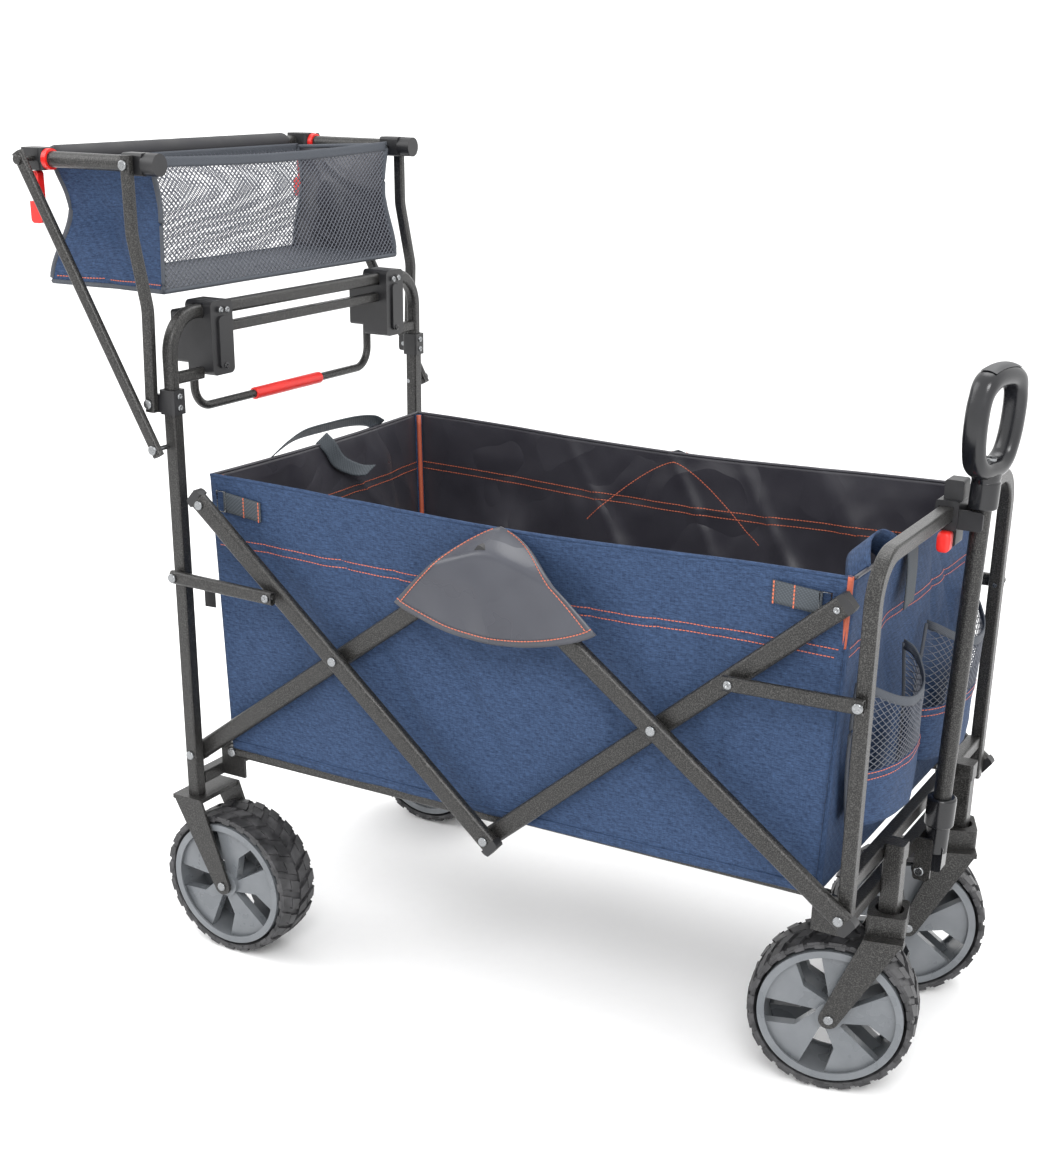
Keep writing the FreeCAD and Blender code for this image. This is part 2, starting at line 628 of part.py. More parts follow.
def handle_collar():
    collar = cylinder((HANDLE_X, 0, HANDLE_TOP_Z - 8), (HANDLE_X, 0, GRIP_Z - 1), 16.5)
    collar = collar.makeFillet(3.0, [e for e in collar.Edges if e.Curve.TypeId == "Part::GeomCircle"])
    collar = collar.cut(cylinder((HANDLE_X, 0, 600), (HANDLE_X, 0, HANDLE_TOP_Z), HANDLE_TUBE_R + FIT))
    return lean(collar.cut(cylinder((HANDLE_X, 0, 600), (HANDLE_X, 0, 800), INNER_TUBE_R + FIT)))


def handle_inner_tube():
    outer = cylinder((HANDLE_X, 0, 420), (HANDLE_X, 0, GRIP_Z + 24), INNER_TUBE_R)
    return lean(outer.cut(cylinder((HANDLE_X, 0, 410), (HANDLE_X, 0, 800), INNER_TUBE_R - TUBE_WALL)))


def grip_loop(half_width, bottom, top, depth, centre_x):
    outline = round_box(centre_x - depth / 2, centre_x + depth / 2, -half_width, half_width, bottom, top,
                        Vector(1, 0, 0), min(30.0, half_width * 0.55))
    return outline


def d_grip():
    x = HANDLE_X
    loop = grip_loop(52, GRIP_Z + 16, GRIP_Z + 118, 30, x)
    window = grip_loop(31, GRIP_Z + 44, GRIP_Z + 96, 60, x)
    neck = round_box(x - 15, x + 15, -19, 19, GRIP_Z, GRIP_Z + 30, Vector(0, 0, 1), 8)
    grip = loop.cut(window).fuse(neck).removeSplitter()
    return lean(grip.cut(cylinder((x, 0, GRIP_Z - 5), (x, 0, GRIP_Z + 24), INNER_TUBE_R + FIT)))


def grip_pad():
    x = HANDLE_X
    pad = round_box(x - 13, x + 13, -40, 40, GRIP_Z + 118.1, GRIP_Z + 122, Vector(0, 0, 1), 8)
    return lean(pad)


# ---------------------------------------------------------------- push handle and basket

def push_tube():
    front = BENT_TOP[0] + 30
    corners = ((front, -ARM_Y), (PUSH_BAR_X, -ARM_Y), (PUSH_BAR_X, ARM_Y), (front, ARM_Y))
    points = [(x, y, ARM_Z) for x, y in corners]
    return tube(points, 20.0, (0, 0, 1), 2 * ARM_R, 2 * ARM_R, ARM_R, TUBE_WALL)


def push_foam():
    reach = ARM_Y - 34
    foam = cylinder((PUSH_BAR_X, -reach, ARM_Z), (PUSH_BAR_X, reach, ARM_Z), FOAM_R)
    foam = foam.makeFillet(4.0, [e for e in foam.Edges if e.Curve.TypeId == "Part::GeomCircle"])
    return foam.cut(cylinder((PUSH_BAR_X, -300, ARM_Z), (PUSH_BAR_X, 300, ARM_Z), ARM_R + FIT))


def push_joints():
    """Moulded sleeves on the arms: the front end caps and the pivot bosses for both struts."""
    y = -ARM_Y
    front = BENT_TOP[0] + 30
    cap = cylinder((front - 14, y, ARM_Z), (front + 6, y, ARM_Z), 13.0)
    z0, z1 = ARM_Z - 13, ARM_Z + 13
    boss = round_box(BENT_TOP[0] - 13, front - 13, y - JOINT_FACE, y + 12, z0, z1, Vector(1, 0, 0), 4)
    front_joint = cap.fuse(boss)
    bore = cylinder((-800, y, ARM_Z), (front + 0.1, y, ARM_Z), ARM_R + FIT)
    bolt_hole = pin(BENT_TOP[0], -320, -200, BENT_TOP[1], SCREW_R + FIT)
    front_joint = front_joint.cut(bore).cut(bolt_hole)
    x = STRAIGHT_TOP[0]
    rear_joint = round_box(x - 22, x + 14, y - JOINT_FACE, y + 16, z0, z1, Vector(0, 0, 1), 6)
    sweep_points = [(-600, y, ARM_Z), (PUSH_BAR_X, y, ARM_Z), (PUSH_BAR_X, -150, ARM_Z)]
    tunnel = swept(sweep_points, 20.0, (0, 0, 1), 2 * ARM_R + 0.1, 2 * ARM_R + 0.1, ARM_R + FIT)
    rear_joint = rear_joint.cut(tunnel)
    return Part.Compound([front_joint, mirror_y(front_joint), rear_joint, mirror_y(rear_joint)])


def latch_collars():
    x = STRAIGHT_TOP[0] + 14.3
    collar = cylinder((x, -ARM_Y, ARM_Z), (x + 7, -ARM_Y, ARM_Z), 12.5)
    return both(collar.cut(cylinder((x - 5, -ARM_Y, ARM_Z), (x + 20, -ARM_Y, ARM_Z), ARM_R + FIT)))


def push_bolts():
    return pins([(*BENT_TOP, -ARM_Y - ARM_R - 1.0, -BENT_STRUT_Y - 6.5, SCREW_R)])


def bent_struts():
    y = -BENT_STRUT_Y
    points = [(CLAMP_PIVOT[0], y, 732), (-465, y, 856), (-482, y, 941), (-483, y, 1031)]
    strut = swept(points, 60.0, (0, 1, 0), 11, 14, 3.0)
    for x, z in (CLAMP_PIVOT, BENT_TOP):
        strut = strut.cut(pin(x, y - 20, y + 20, z, SCREW_R + FIT))
    return both(strut)


def straight_struts():
    """Struts to the rear corners, each with the bolt at its top, whose foot bears on the corner's joint."""
    ends = [STRAIGHT_FOOT, STRAIGHT_TOP]
    strut = side_bar(*ends, -STRAIGHT_STRUT_Y, 15, 10, 9, ends, SCREW_R)
    top_bolts = pins([(*STRAIGHT_TOP, -ARM_Y - JOINT_FACE, -STRAIGHT_STRUT_Y - 5.5, SCREW_R)])
    return Part.Compound(both(strut).Solids + top_bolts.Solids)


def latch_hooks():
    """Hooked pull tab that hangs under each rear corner and releases the straight strut."""
    x, y0, y1 = STRAIGHT_TOP[0] - 6, -ARM_Y - 4, -ARM_Y + 6
    stem = round_box(x - 5, x + 5, y0, y1, 970, ARM_Z - 14, Vector(0, 1, 0), 4.5)
    hook = round_box(x - 12, x + 6, y0, y1, 944, 974, Vector(0, 1, 0), 5)
    notch = box(x - 13, x - 4, y0 - 1, y1 + 1, 970, 980)
    pivot = pin(x, y0 - 0.8, y1 + 0.8, LATCH_PIVOT_Z, 2.2)
    return both(stem.fuse(hook).cut(notch).fuse(pivot).removeSplitter())


def basket_shell():
    x0, x1, y, z0, z1 = BASKET
    t = BASKET_WALL
    outer = round_box(x0, x1, -y, y, z0, z1, Vector(0, 0, 1), 8)
    inner = round_box(x0 + t, x1 - t, -y + t, y - t, z0 + t, z1 + 1, Vector(0, 0, 1), 4)
    return outer.cut(inner)


# ---------------------------------------------------------------- fabric box

def bag_end_wall(x_sign):
    x0, x1 = sorted((x_sign * (BAG_X - CLOTH), x_sign * BAG_X))
    return box(x0, x1, -BAG_Y + CLOTH + 0.3, BAG_Y - CLOTH - 0.3, BAG_FLOOR_Z, BAG_TOP_Z)


def bag_rear():
    return bag_end_wall(-1)


def bag_front():
    """Front wall with its pouches."""
    return Part.Compound([bag_end_wall(1)] + front_pockets().Solids)


def bag_sides():
    """Side walls, each with the flap that folds over its rim and covers the top hub."""
    wall = box(-BAG_X, BAG_X, -BAG_Y, -BAG_Y + CLOTH, BAG_FLOOR_Z, BAG_TOP_Z)
    return Part.Compound(both(wall).Solids + hub_flaps().Solids)


def bag_floor():
    reach = BAG_X - CLOTH - 0.3
    y = BAG_Y - CLOTH - 0.3
    return box(-reach, reach, -y, y, BAG_FLOOR_Z, BAG_FLOOR_Z + CLOTH)


def hub_flaps():
    """Cloth flap on each side that folds over the rim and covers the top hub."""
    y_out, y_in = -281.0, -BAG_Y - 0.3
    outline = [(0, 652), (40, 620), (132, 552), (90, 524), (20, 514), (-60, 520), (-118, 548), (-50, 618)]
    wire = Part.makePolygon([Vector(x, y_out, z) for x, z in outline + outline[:1]])
    hanging = Part.Face(wire).extrude(Vector(0, 2, 0))
    bridge = box(-16, 16, y_out, y_in, 638, 640)
    return both(hanging.fuse(bridge).removeSplitter())


def front_pockets():
    """Open-topped pouches on the outside of the front wall."""
    pouches = []
    half, front = POUCH_HALF, POUCH_FRONT_X
    for y in (-POUCH_Y, POUCH_Y):
        outer = round_box(BAG_X + 0.3, front, y - half, y + half, *POUCH_Z, Vector(0, 0, 1), 18)
        inner = round_box(BAG_X + 3, front - 2.5, y - half + 3, y + half - 3, POUCH_Z[0] + 5, POUCH_Z[1] + 1,
                          Vector(0, 0, 1), 15)
        pouches.append(outer.cut(inner))
    return Part.Compound(pouches)


# ---------------------------------------------------------------- all nodes

def scissor_nodes():
    layer = BAR_DEPTH / 2
    rear, front = points_of(-1), points_of(1)
    head_out = -OUTER_BAR_Y - layer
    pin_in = -INNER_BAR_Y + layer + 1.5
    nodes = {
        "rear_low_bars": low_bars(-1, INNER_BAR_Y),
        "rear_high_bars": high_bars(-1, OUTER_BAR_Y),
        "front_low_bars": low_bars(1, OUTER_BAR_Y),
        "front_high_bars": high_bars(1, INNER_BAR_Y),
        "rear_low_caps": caps([(rear["post"], rear["cross"]), (TOP_HUB, rear["post"])], INNER_BAR_Y),
        "rear_high_caps": caps([(rear["top"], BOTTOM_HUB), (BOTTOM_HUB, rear["top"])], OUTER_BAR_Y),
        "front_low_caps": caps([(front["post"], front["cross"]), (TOP_HUB, front["post"])], OUTER_BAR_Y),
        "front_high_caps": caps([(front["top"], BOTTOM_HUB), (BOTTOM_HUB, front["top"])], INNER_BAR_Y),
        "rear_high_pins": pins([
            (*rear["cross"], pin_in, head_out, PIN_R),
            (*rear["top"], head_out + BAR_DEPTH, head_out, PIN_R),
            (*BOTTOM_HUB, head_out + BAR_DEPTH + 1, head_out, PIN_R),
        ]),
        "front_low_pins": pins([
            (*front["cross"], pin_in, head_out, PIN_R),
            (*TOP_HUB, pin_in, head_out, PIN_R),
        ]),
        "rear_links": links(-1, REAR_LINK_Y),
        "front_links": links(1, OUTER_BAR_Y),
        "rear_floor_rails": floor_rails(-1, REAR_FLOOR_Y),
        "front_floor_rails": floor_rails(1, FRONT_FLOOR_Y),
    }
    return nodes


def all_nodes():
    nodes = {}
    for side in SIDES:
        nodes["caster_fork_" + side] = caster_fork(side)
        nodes["caster_axle_" + side] = caster_axle(side)
        for where in ("rear", "front"):
            nodes[f"{where}_tyre_{side}"] = wheel_place(tyre(), where, side)
            nodes[f"{where}_rim_{side}"] = wheel_place(rim(1), where, side)
    makers = [rear_posts, rear_upper_frame, rear_cross_members, frame_clamps, lock_housings, rear_forks]
    makers += [rear_bolts, bail_rod, bail_grip, bail_springs]
    makers += [front_frame_tube, front_cross_members, caster_heads, handle_clip, front_bolts, clip_button]
    makers += [handle_fittings, handle_tube, handle_inner_tube, d_grip, grip_pad]
    makers += [push_tube, push_foam, push_joints, latch_collars, push_bolts, bent_struts, straight_struts]
    makers += [latch_hooks, basket_shell, bag_rear, bag_sides, bag_floor, bag_front]
    for maker in makers:
        nodes[maker.__name__] = maker()
    nodes.update(scissor_nodes())
    return nodes


def middle_x(nodes):
    boxes = [shape.optimalBoundingBox() for shape in nodes.values()]
    return (min(b.XMin for b in boxes) + max(b.XMax for b in boxes)) / 2


NODES = all_nodes()
ORIGIN_X = middle_x(NODES)
os.makedirs("parts", exist_ok=True)
for name, shape in NODES.items():
    shape.translate(Vector(-ORIGIN_X, 0, 0))
    shape.exportStep(f"parts/{name}.step")
print(len(NODES), "nodes, origin", round(ORIGIN_X, 3), "mm from the middle between the posts")
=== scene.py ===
import json
import math

import bpy
from mathutils import Matrix, Vector, noise


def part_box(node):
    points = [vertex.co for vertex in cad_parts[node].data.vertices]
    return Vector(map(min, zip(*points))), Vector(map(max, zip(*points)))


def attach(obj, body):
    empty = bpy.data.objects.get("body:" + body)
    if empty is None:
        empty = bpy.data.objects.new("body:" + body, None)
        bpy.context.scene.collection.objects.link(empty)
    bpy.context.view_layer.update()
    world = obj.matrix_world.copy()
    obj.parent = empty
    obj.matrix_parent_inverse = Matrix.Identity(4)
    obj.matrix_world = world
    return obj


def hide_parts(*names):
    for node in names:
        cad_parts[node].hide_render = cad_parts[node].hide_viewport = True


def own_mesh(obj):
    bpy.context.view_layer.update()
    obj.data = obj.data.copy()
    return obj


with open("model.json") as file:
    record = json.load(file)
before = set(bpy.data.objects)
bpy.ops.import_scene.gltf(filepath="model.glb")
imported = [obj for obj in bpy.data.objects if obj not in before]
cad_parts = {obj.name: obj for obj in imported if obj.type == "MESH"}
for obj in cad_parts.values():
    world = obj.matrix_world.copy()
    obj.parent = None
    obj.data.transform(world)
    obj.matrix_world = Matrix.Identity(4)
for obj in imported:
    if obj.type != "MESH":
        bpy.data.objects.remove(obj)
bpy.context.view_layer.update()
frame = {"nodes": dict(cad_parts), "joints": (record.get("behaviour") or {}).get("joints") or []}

# ---------------------------------------------------------------- sizes
# Points are written in millimetres from the middle between the front and rear posts, and at() turns them into
# the row frame's metres.
MM = 0.001


def centre(node):
    low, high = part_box(node)
    return (low + high) / 2


MIDDLE = (centre("rear_posts").x + centre("front_frame_tube").x) / 2

BAG_Y = 237.0
BAG_REAR_X = -424.0
BAG_FRONT_X = 424.0
RIM_Z = 650.0
RIM_DIP = 9.0
RIM_SHARE, RIM_ROLL = 0.998, 2.3
HEM = 1.5
FLOOR_Z = 283.0
PLY = 2.6
OUTER_SEAM = 0.785
INNER_SEAM = 0.805
SEAM_GAP = 0.026
CORNER_Y = 233.0
HUB_Y = 278.0
BASKET_X = (-650.0, -469.0)
BASKET_Y = 250.0
BASKET_Z = (872.0, 1029.0)
BAND = 12.0
GRIP_TURN = 14.0
FRONT_TOP_PIVOT = (413.7, 619.2)
STRAIGHT_FOOT = (-455.0, 689.0)
HOUSING_SCREW_Y = 196.0
STRUT_FACE_Y = 303.5
CLAMP_FACE_X, CLAMP_SCREW_Y = -438.5, 268.0
WEBBING = 25.0


def at(x, y, z):
    return Vector((MIDDLE + x * MM, y * MM, z * MM))


def mix(a, b, t):
    return a + (b - a) * t


def clamp(t):
    return min(1.0, max(0.0, t))


def smooth(t):
    t = clamp(t)
    return t * t * (3 - 2 * t)


def arch(t):
    """0 at both ends of 0 to 1 and 1 in the middle."""
    return math.sin(math.pi * t)


def folds(u, v, seed, size):
    """Soft creases about zero, from points in millimetres."""
    p = Vector((u / size, v / size, seed))
    return noise.noise(p) + 0.5 * noise.noise(p * 2.3)


def crease(u, v, seed, size):
    """Sharp-crested creases, near 1 on a crest and falling away to 0."""
    p = Vector((u / size, v / size, seed))
    return max(0.0, 1 - 3.2 * abs(noise.noise(p))) ** 2


# ---------------------------------------------------------------- materials

class Look:
    """A Principled material with short calls for its node tree."""

    def __init__(self, name, roughness, metallic=0.0, **fixed):
        self.material = bpy.data.materials.new(name)
        self.material.use_nodes = True
        self.tree = self.material.node_tree
        self.shader = self.tree.nodes["Principled BSDF"]
        self.feed(self.shader.inputs["Roughness"], roughness)
        self.feed(self.shader.inputs["Metallic"], metallic)
        for key, value in fixed.items():
            self.feed(self.shader.inputs[key.replace("_", " ")], value)

    def feed(self, socket, value):
        if isinstance(value, bpy.types.NodeSocket):
            self.tree.links.new(value, socket)
        else:
            socket.default_value = value

    def node(self, kind, inputs=None, **settings):
        made = self.tree.nodes.new("ShaderNode" + kind)
        for key, value in settings.items():
            setattr(made, key, value)
        for key, value in (inputs or {}).items():
            self.feed(made.inputs[key], value)
        return made

    def place(self, scale=(1, 1, 1), cloth=False):
        """Object coordinates, or a cloth piece's own flat coordinates, scaled."""
        if cloth:
            source = self.node("Attribute", attribute_name="cloth").outputs["Vector"]
        else:
            source = self.node("TexCoord").outputs["Object"]
        return self.node("Mapping", {"Vector": source, "Scale": scale}).outputs["Vector"]

    def noise(self, where, scale, detail=3.0, rough=0.55):
        made = self.node("TexNoise", {"Vector": where, "Scale": scale, "Detail": detail, "Roughness": rough})
        return made.outputs["Fac"]

    def cells(self, where, scale):
        return self.node("TexVoronoi", {"Vector": where, "Scale": scale}).outputs["Distance"]

    def wave(self, where, scale, direction):
        made = self.node("TexWave", {"Vector": where, "Scale": scale}, bands_direction=direction)
        return made.outputs["Fac"]

    def maths(self, operation, a, b=0.0):
        return self.node("Math", {0: a, 1: b}, operation=operation).outputs[0]

    def ramp(self, factor, low, high, start=0.0, end=1.0):
        return self.node("MapRange", {"Value": factor, "From Min": low, "From Max": high, "To Min": start,
                                      "To Max": end}).outputs["Result"]

    def blend(self, factor, a, b):
        made = self.node("Mix", {0: factor}, data_type="RGBA")
        self.feed(made.inputs[6], a if isinstance(a, bpy.types.NodeSocket) else (*a, 1))
        self.feed(made.inputs[7], b if isinstance(b, bpy.types.NodeSocket) else (*b, 1))
        return made.outputs[2]

    def colour(self, value):
        self.feed(self.shader.inputs["Base Color"], value)

    def bump(self, height, strength, distance, under=None):
        made = self.node("Bump", {"Height": height, "Strength": strength, "Distance": distance})
        if under is not None:
            self.feed(made.inputs["Normal"], under)
        self.feed(self.shader.inputs["Normal"], made.outputs["Normal"])
        return made.outputs["Normal"]

    def roughness(self, value):
        self.feed(self.shader.inputs["Roughness"], value)


def hammertone():
    look = Look("hammertone", 0.36, 0.25, Specular_IOR_Level=0.38, Coat_Weight=0.18, Coat_Roughness=0.16)
    where = look.place()
    cells = look.cells(where, 620.0)
    grain = look.noise(where, 900.0)
    spots = look.maths("MULTIPLY", look.ramp(cells, 0.2, 0.75), look.ramp(grain, 0.3, 0.7))
    worn = look.noise(where, 18.0)
    base = look.blend(look.ramp(spots, 0.1, 0.8), (0.006, 0.0058, 0.0056), (0.068, 0.066, 0.063))
    look.colour(look.blend(look.ramp(worn, 0.35, 0.8, 0.0, 0.35), base, (0.03, 0.029, 0.028)))
    look.roughness(look.ramp(grain, 0.3, 0.7, 0.28, 0.48))
    look.bump(cells, 0.55, 0.0006)
    return look


def moulding(name, dark, light, roughness=0.42, grain_size=1400.0):
    look = Look(name, roughness)
    where = look.place()
    grain = look.noise(where, grain_size, 2.0)
    cloud = look.noise(where, 22.0)
    look.colour(look.blend(look.ramp(cloud, 0.3, 0.75), dark, light))
    look.roughness(look.ramp(cloud, 0.3, 0.7, roughness - 0.08, roughness + 0.1))
    look.bump(grain, 0.25, 0.0002)
    return look


def zinc():
    look = Look("zinc", 0.25, 1.0)
    where = look.place((1, 1, 6))
    streak = look.noise(where, 500.0)
    look.colour(look.blend(look.ramp(streak, 0.3, 0.7), (0.14, 0.145, 0.15), (0.38, 0.39, 0.4)))
    look.roughness(look.ramp(streak, 0.3, 0.7, 0.18, 0.36))
    look.bump(streak, 0.1, 0.0001)
    return look


def rubber():
    look = Look("tyre_rubber", 0.55)
    where = look.place()
    dust = look.noise(where, 45.0, 5.0)
    grain = look.noise(where, 1100.0, 2.0)
    look.colour(look.blend(look.ramp(dust, 0.4, 0.75), (0.018, 0.018, 0.0195), (0.075, 0.074, 0.078)))
    look.roughness(look.ramp(dust, 0.3, 0.7, 0.42, 0.68))
    look.bump(grain, 0.35, 0.0003)
    return look


def denim():
    look = Look("denim", 0.82, Specular_IOR_Level=0.25)
    slub = look.noise(look.place((190, 1400, 1), True), 1.0, 3.0, 0.7)
    long_slub = look.noise(look.place((55, 420, 1), True), 1.0, 2.0)
    cross = look.noise(look.place((700, 90, 1), True), 1.0, 2.0)
    twill = look.wave(look.place((1, 1, 1), True), 52.0, "DIAGONAL")
    heather = look.maths("ADD", look.maths("MULTIPLY", slub, 0.6), look.maths("MULTIPLY", long_slub, 0.25))
    heather = look.maths("ADD", heather, look.maths("MULTIPLY", cross, 0.15))
    base = look.blend(look.ramp(heather, 0.38, 0.62), (0.008, 0.018, 0.047), (0.047, 0.085, 0.172))
    look.colour(look.blend(look.maths("MULTIPLY", twill, 0.16), base, (0.005, 0.011, 0.028)))
    look.roughness(look.ramp(slub, 0.3, 0.7, 0.68, 0.88))
    weave = look.maths("ADD", look.maths("MULTIPLY", twill, 0.7), slub)
    look.bump(weave, 0.35, 0.0005)
    return look


def lining(name, dark, light):
    look = Look(name, 0.4, Sheen_Weight=0.06)
    where = look.place()
    ridge = look.maths("ABSOLUTE", look.maths("SUBTRACT", look.noise(where, 6.5, 1.6), 0.5))
    crumple = look.ramp(ridge, 0.0, 0.12)
    threads = look.maths("ADD", look.wave(look.place((1, 1, 1), True), 260.0, "X"),
                         look.wave(look.place((1, 1, 1), True), 260.0, "Y"))
    cloud = look.noise(where, 9.0)
    look.colour(look.blend(look.ramp(cloud, 0.3, 0.7), dark, light))
    look.roughness(look.ramp(cloud, 0.3, 0.7, 0.27, 0.4))
    creased = look.bump(crumple, 0.55, 0.006)
    look.bump(threads, 0.08, 0.0002, creased)
    return look


def woven(name, dark, light, pitch):
    """Ribbed tape or webbing from a cloth piece's own coordinates."""
    look = Look(name, 0.7)
    where = look.place((1, 1, 1), True)
    ribs = look.maths("MULTIPLY", look.wave(where, pitch, "DIAGONAL"), look.wave(where, pitch * 1.3, "Y"))
    fuzz = look.noise(look.place((500, 500, 1), True), 1.0)
    look.colour(look.blend(look.maths("ADD", look.maths("MULTIPLY", ribs, 0.7), look.maths("MULTIPLY", fuzz, 0.3)),
                           dark, light))
    look.bump(ribs, 0.5, 0.0005)
    return look


def thread(name, dark, light):
    look = Look(name, 0.6)
    twist = look.noise(look.place(), 1500.0)
    look.colour(look.blend(look.ramp(twist, 0.3, 0.7), dark, light))
    look.bump(twist, 0.4, 0.0003)
    return look


LOOKS = {
    "frame": hammertone(),
    "moulding": moulding("black_moulding", (0.006, 0.006, 0.007), (0.018, 0.018, 0.02)),
    "gloss": moulding("gloss_moulding", (0.006, 0.0062, 0.0075), (0.012, 0.0125, 0.015), 0.2),
    "zinc": zinc(),
    "red_plastic": moulding("red_moulding", (0.62, 0.012, 0.009), (0.78, 0.022, 0.016), 0.36),
    "tyre": rubber(),
    "rim": moulding("rim_moulding", (0.115, 0.125, 0.136), (0.17, 0.18, 0.192), 0.3),
    "foam": moulding("black_foam", (0.007, 0.007, 0.0085), (0.017, 0.017, 0.021), 0.62, 420.0),
    "grip_pad": moulding("soft_pad", (0.03, 0.031, 0.033), (0.055, 0.057, 0.06), 0.5),
    "denim": denim(),
    "lining": lining("coated_lining", (0.022, 0.021, 0.028), (0.036, 0.035, 0.044)),
    "flap": lining("coated_flap", (0.031, 0.033, 0.044), (0.047, 0.05, 0.063)),
    "mesh": woven("mesh_yarn", (0.085, 0.092, 0.11), (0.19, 0.20, 0.235), 300.0),
    "webbing": woven("webbing", (0.024, 0.03, 0.037), (0.085, 0.1, 0.115), 140.0),
    "binding": woven("binding_tape", (0.04, 0.046, 0.058), (0.085, 0.095, 0.112), 240.0),
    "label": woven("black_label", (0.004, 0.004, 0.005), (0.012, 0.012, 0.013), 240.0),
    "stitch": thread("orange_thread", (0.42, 0.085, 0.038), (0.62, 0.16, 0.08)),
    "piping": thread("orange_tape", (0.32, 0.058, 0.026), (0.48, 0.11, 0.055)),
}

NODE_LOOKS = {
    "frame": ("rear_posts", "rear_upper_frame", "rear_cross_members", "rear_forks", "rear_low_bars",
              "rear_high_bars", "front_low_bars", "front_high_bars", "rear_links", "front_links",
              "rear_floor_rails", "front_floor_rails", "front_frame_tube", "front_cross_members", "caster_heads",
              "caster_fork_r", "caster_fork_l", "push_tube", "bent_struts", "straight_struts", "bail_rod",
              "handle_tube"),
    "moulding": ("frame_clamps", "lock_housings", "handle_clip", "push_joints", "rear_low_caps", "rear_high_caps",
                 "front_low_caps", "front_high_caps"),
    "gloss": ("handle_fittings",),
    "zinc": ("rear_bolts", "front_bolts", "rear_high_pins", "front_low_pins", "push_bolts", "caster_axle_r",
             "caster_axle_l", "bail_springs", "handle_inner_tube"),
    "red_plastic": ("bail_grip", "clip_button", "latch_collars", "latch_hooks"),
    "rim": ("rear_rim_r", "rear_rim_l", "front_rim_r", "front_rim_l"),
}


def dress_cad_nodes():
    for look, names in NODE_LOOKS.items():
        for name in names:
            mesh = frame["nodes"][name].data
            mesh.materials.clear()
            mesh.materials.append(LOOKS[look].material)
            mesh.set_sharp_from_angle(angle=math.radians(32))


# ---------------------------------------------------------------- mesh helpers

def piece(name, verts, faces, looks, body, slot, cloth=None):
    """A smooth mesh piece that rides on a body and takes the named looks."""
    mesh = bpy.data.meshes.new(name)
    mesh.from_pydata([tuple(v) for v in verts], [], faces)
    for look in looks:
        mesh.materials.append(LOOKS[look].material)
    if cloth is not None:
        flat = mesh.attributes.new("cloth", "FLOAT_VECTOR", "POINT")
        flat.data.foreach_set("vector", [c for uv in cloth for c in (uv[0], uv[1], 0.0)])
    mesh.polygons.foreach_set("use_smooth", [True] * len(mesh.polygons))
    mesh.update()
    made = bpy.data.objects.new(name, mesh)
    bpy.context.scene.collection.objects.link(made)
    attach(made, body)
    return made


def solidify(obj, thickness, other_side=0):
    """Thickness to both sides; other_side steps from the first look to the one on the far face."""
    solid = obj.modifiers.new("ply", "SOLIDIFY")
    solid.thickness = thickness * MM
    solid.offset = 0.0
    solid.material_offset = other_side
    return obj


def grid_faces(nu, nv, flip=False):
    faces = []
    for j in range(nv):
        for i in range(nu):
            a = j * (nu + 1) + i
            quad = (a, a + 1, a + nu + 2, a + nu + 1)
            faces.append(quad[::-1] if flip else quad)
    return faces


def circle(sides):
    """Cosine and sine of each step round a circle."""
    return [(math.cos(2 * math.pi * k / sides), math.sin(2 * math.pi * k / sides)) for k in range(sides)]


def squared(c, power):
    """A cosine or sine pushed outward, for rounded squares instead of circles."""
    return math.copysign(abs(c) ** power, c)


def tube_faces(rings, sides, base=0, closed=False, inward=False, foot=True):
    """Quads between rings of points, and caps on the open ends; foot=False leaves out the first cap."""
    faces = []
    for i in range(rings if closed else rings - 1):
        step = ((i + 1) % rings - i) * sides
        for k in range(sides):
            a, b = base + i * sides + k, base + i * sides + (k + 1) % sides
            faces.append((a, a + step, b + step, b) if inward else (a, b, b + step, a + step))
    if not closed:
        first, last = (tuple(base + r * sides + k for k in range(sides)) for r in (0, rings - 1))
        caps = [first, last[::-1]] if inward else [first[::-1], last]
        faces += caps if foot else caps[1:]
    return faces


def panel(name, surface, flat, cells, looks, body, slot, thickness=PLY, flip=False):
    """A cloth sheet of flat (width, length) millimetres over surface(s, t), s and t from 0 to 1."""
    nu, nv = cells
    steps = [(i / nu, j / nv) for j in range(nv + 1) for i in range(nu + 1)]
    verts = [surface(s, t) for s, t in steps]
    cloth = [(s * flat[0] * MM, t * flat[1] * MM) for s, t in steps]
    made = piece(name, verts, grid_faces(nu, nv, flip), looks, body, slot, cloth)
    return solidify(made, thickness, len(looks) - 1)


def tube(name, path, radius, look, body, slot, closed=False, squash=1.0):
    """A tube through the points; squash flattens it sideways."""
    verts, cloth, sides = [], [], 8
    count = len(path)
    along = 0.0
    for i, point in enumerate(path):
        before = path[i - 1] if closed or i else point
        after = path[(i + 1) % count] if closed or i < count - 1 else point
        tangent = (after - before).normalized()
        side = tangent.cross(Vector((0, 0, 1)))
        side = side.normalized() if side.length > 0.1 else tangent.cross(Vector((0, 1, 0))).normalized()
        up = side.cross(tangent)
        along += (point - path[i - 1]).length if i else 0.0
        for k, (c, d) in enumerate(circle(sides)):
            verts.append(point + (side * c * squash + up * d) * radius * MM)
            cloth.append((along, k / sides * 2 * math.pi * radius * MM))
    return piece(name, verts, tube_faces(count, sides, closed=closed), [look], body, slot, cloth)


def spline(points, steps):
    """Catmull-Rom points from the second control point to the last but one, which is left out."""
    out = []
    for a, b, c, d in zip(points, points[1:], points[2:], points[3:]):
        for k in range(steps):
            t = k / steps
            out.append(0.5 * (2 * b + (c - a) * t + (2 * a - 5 * b + 4 * c - d) * t ** 2
                              + (3 * b - a - 3 * c + d) * t ** 3))
    return out


def curve_points(points, steps):
    """A smooth line through a few control points."""
    return spline([points[0] * 2 - points[1], *points, points[-1] * 2 - points[-2]], steps) + [points[-1]]


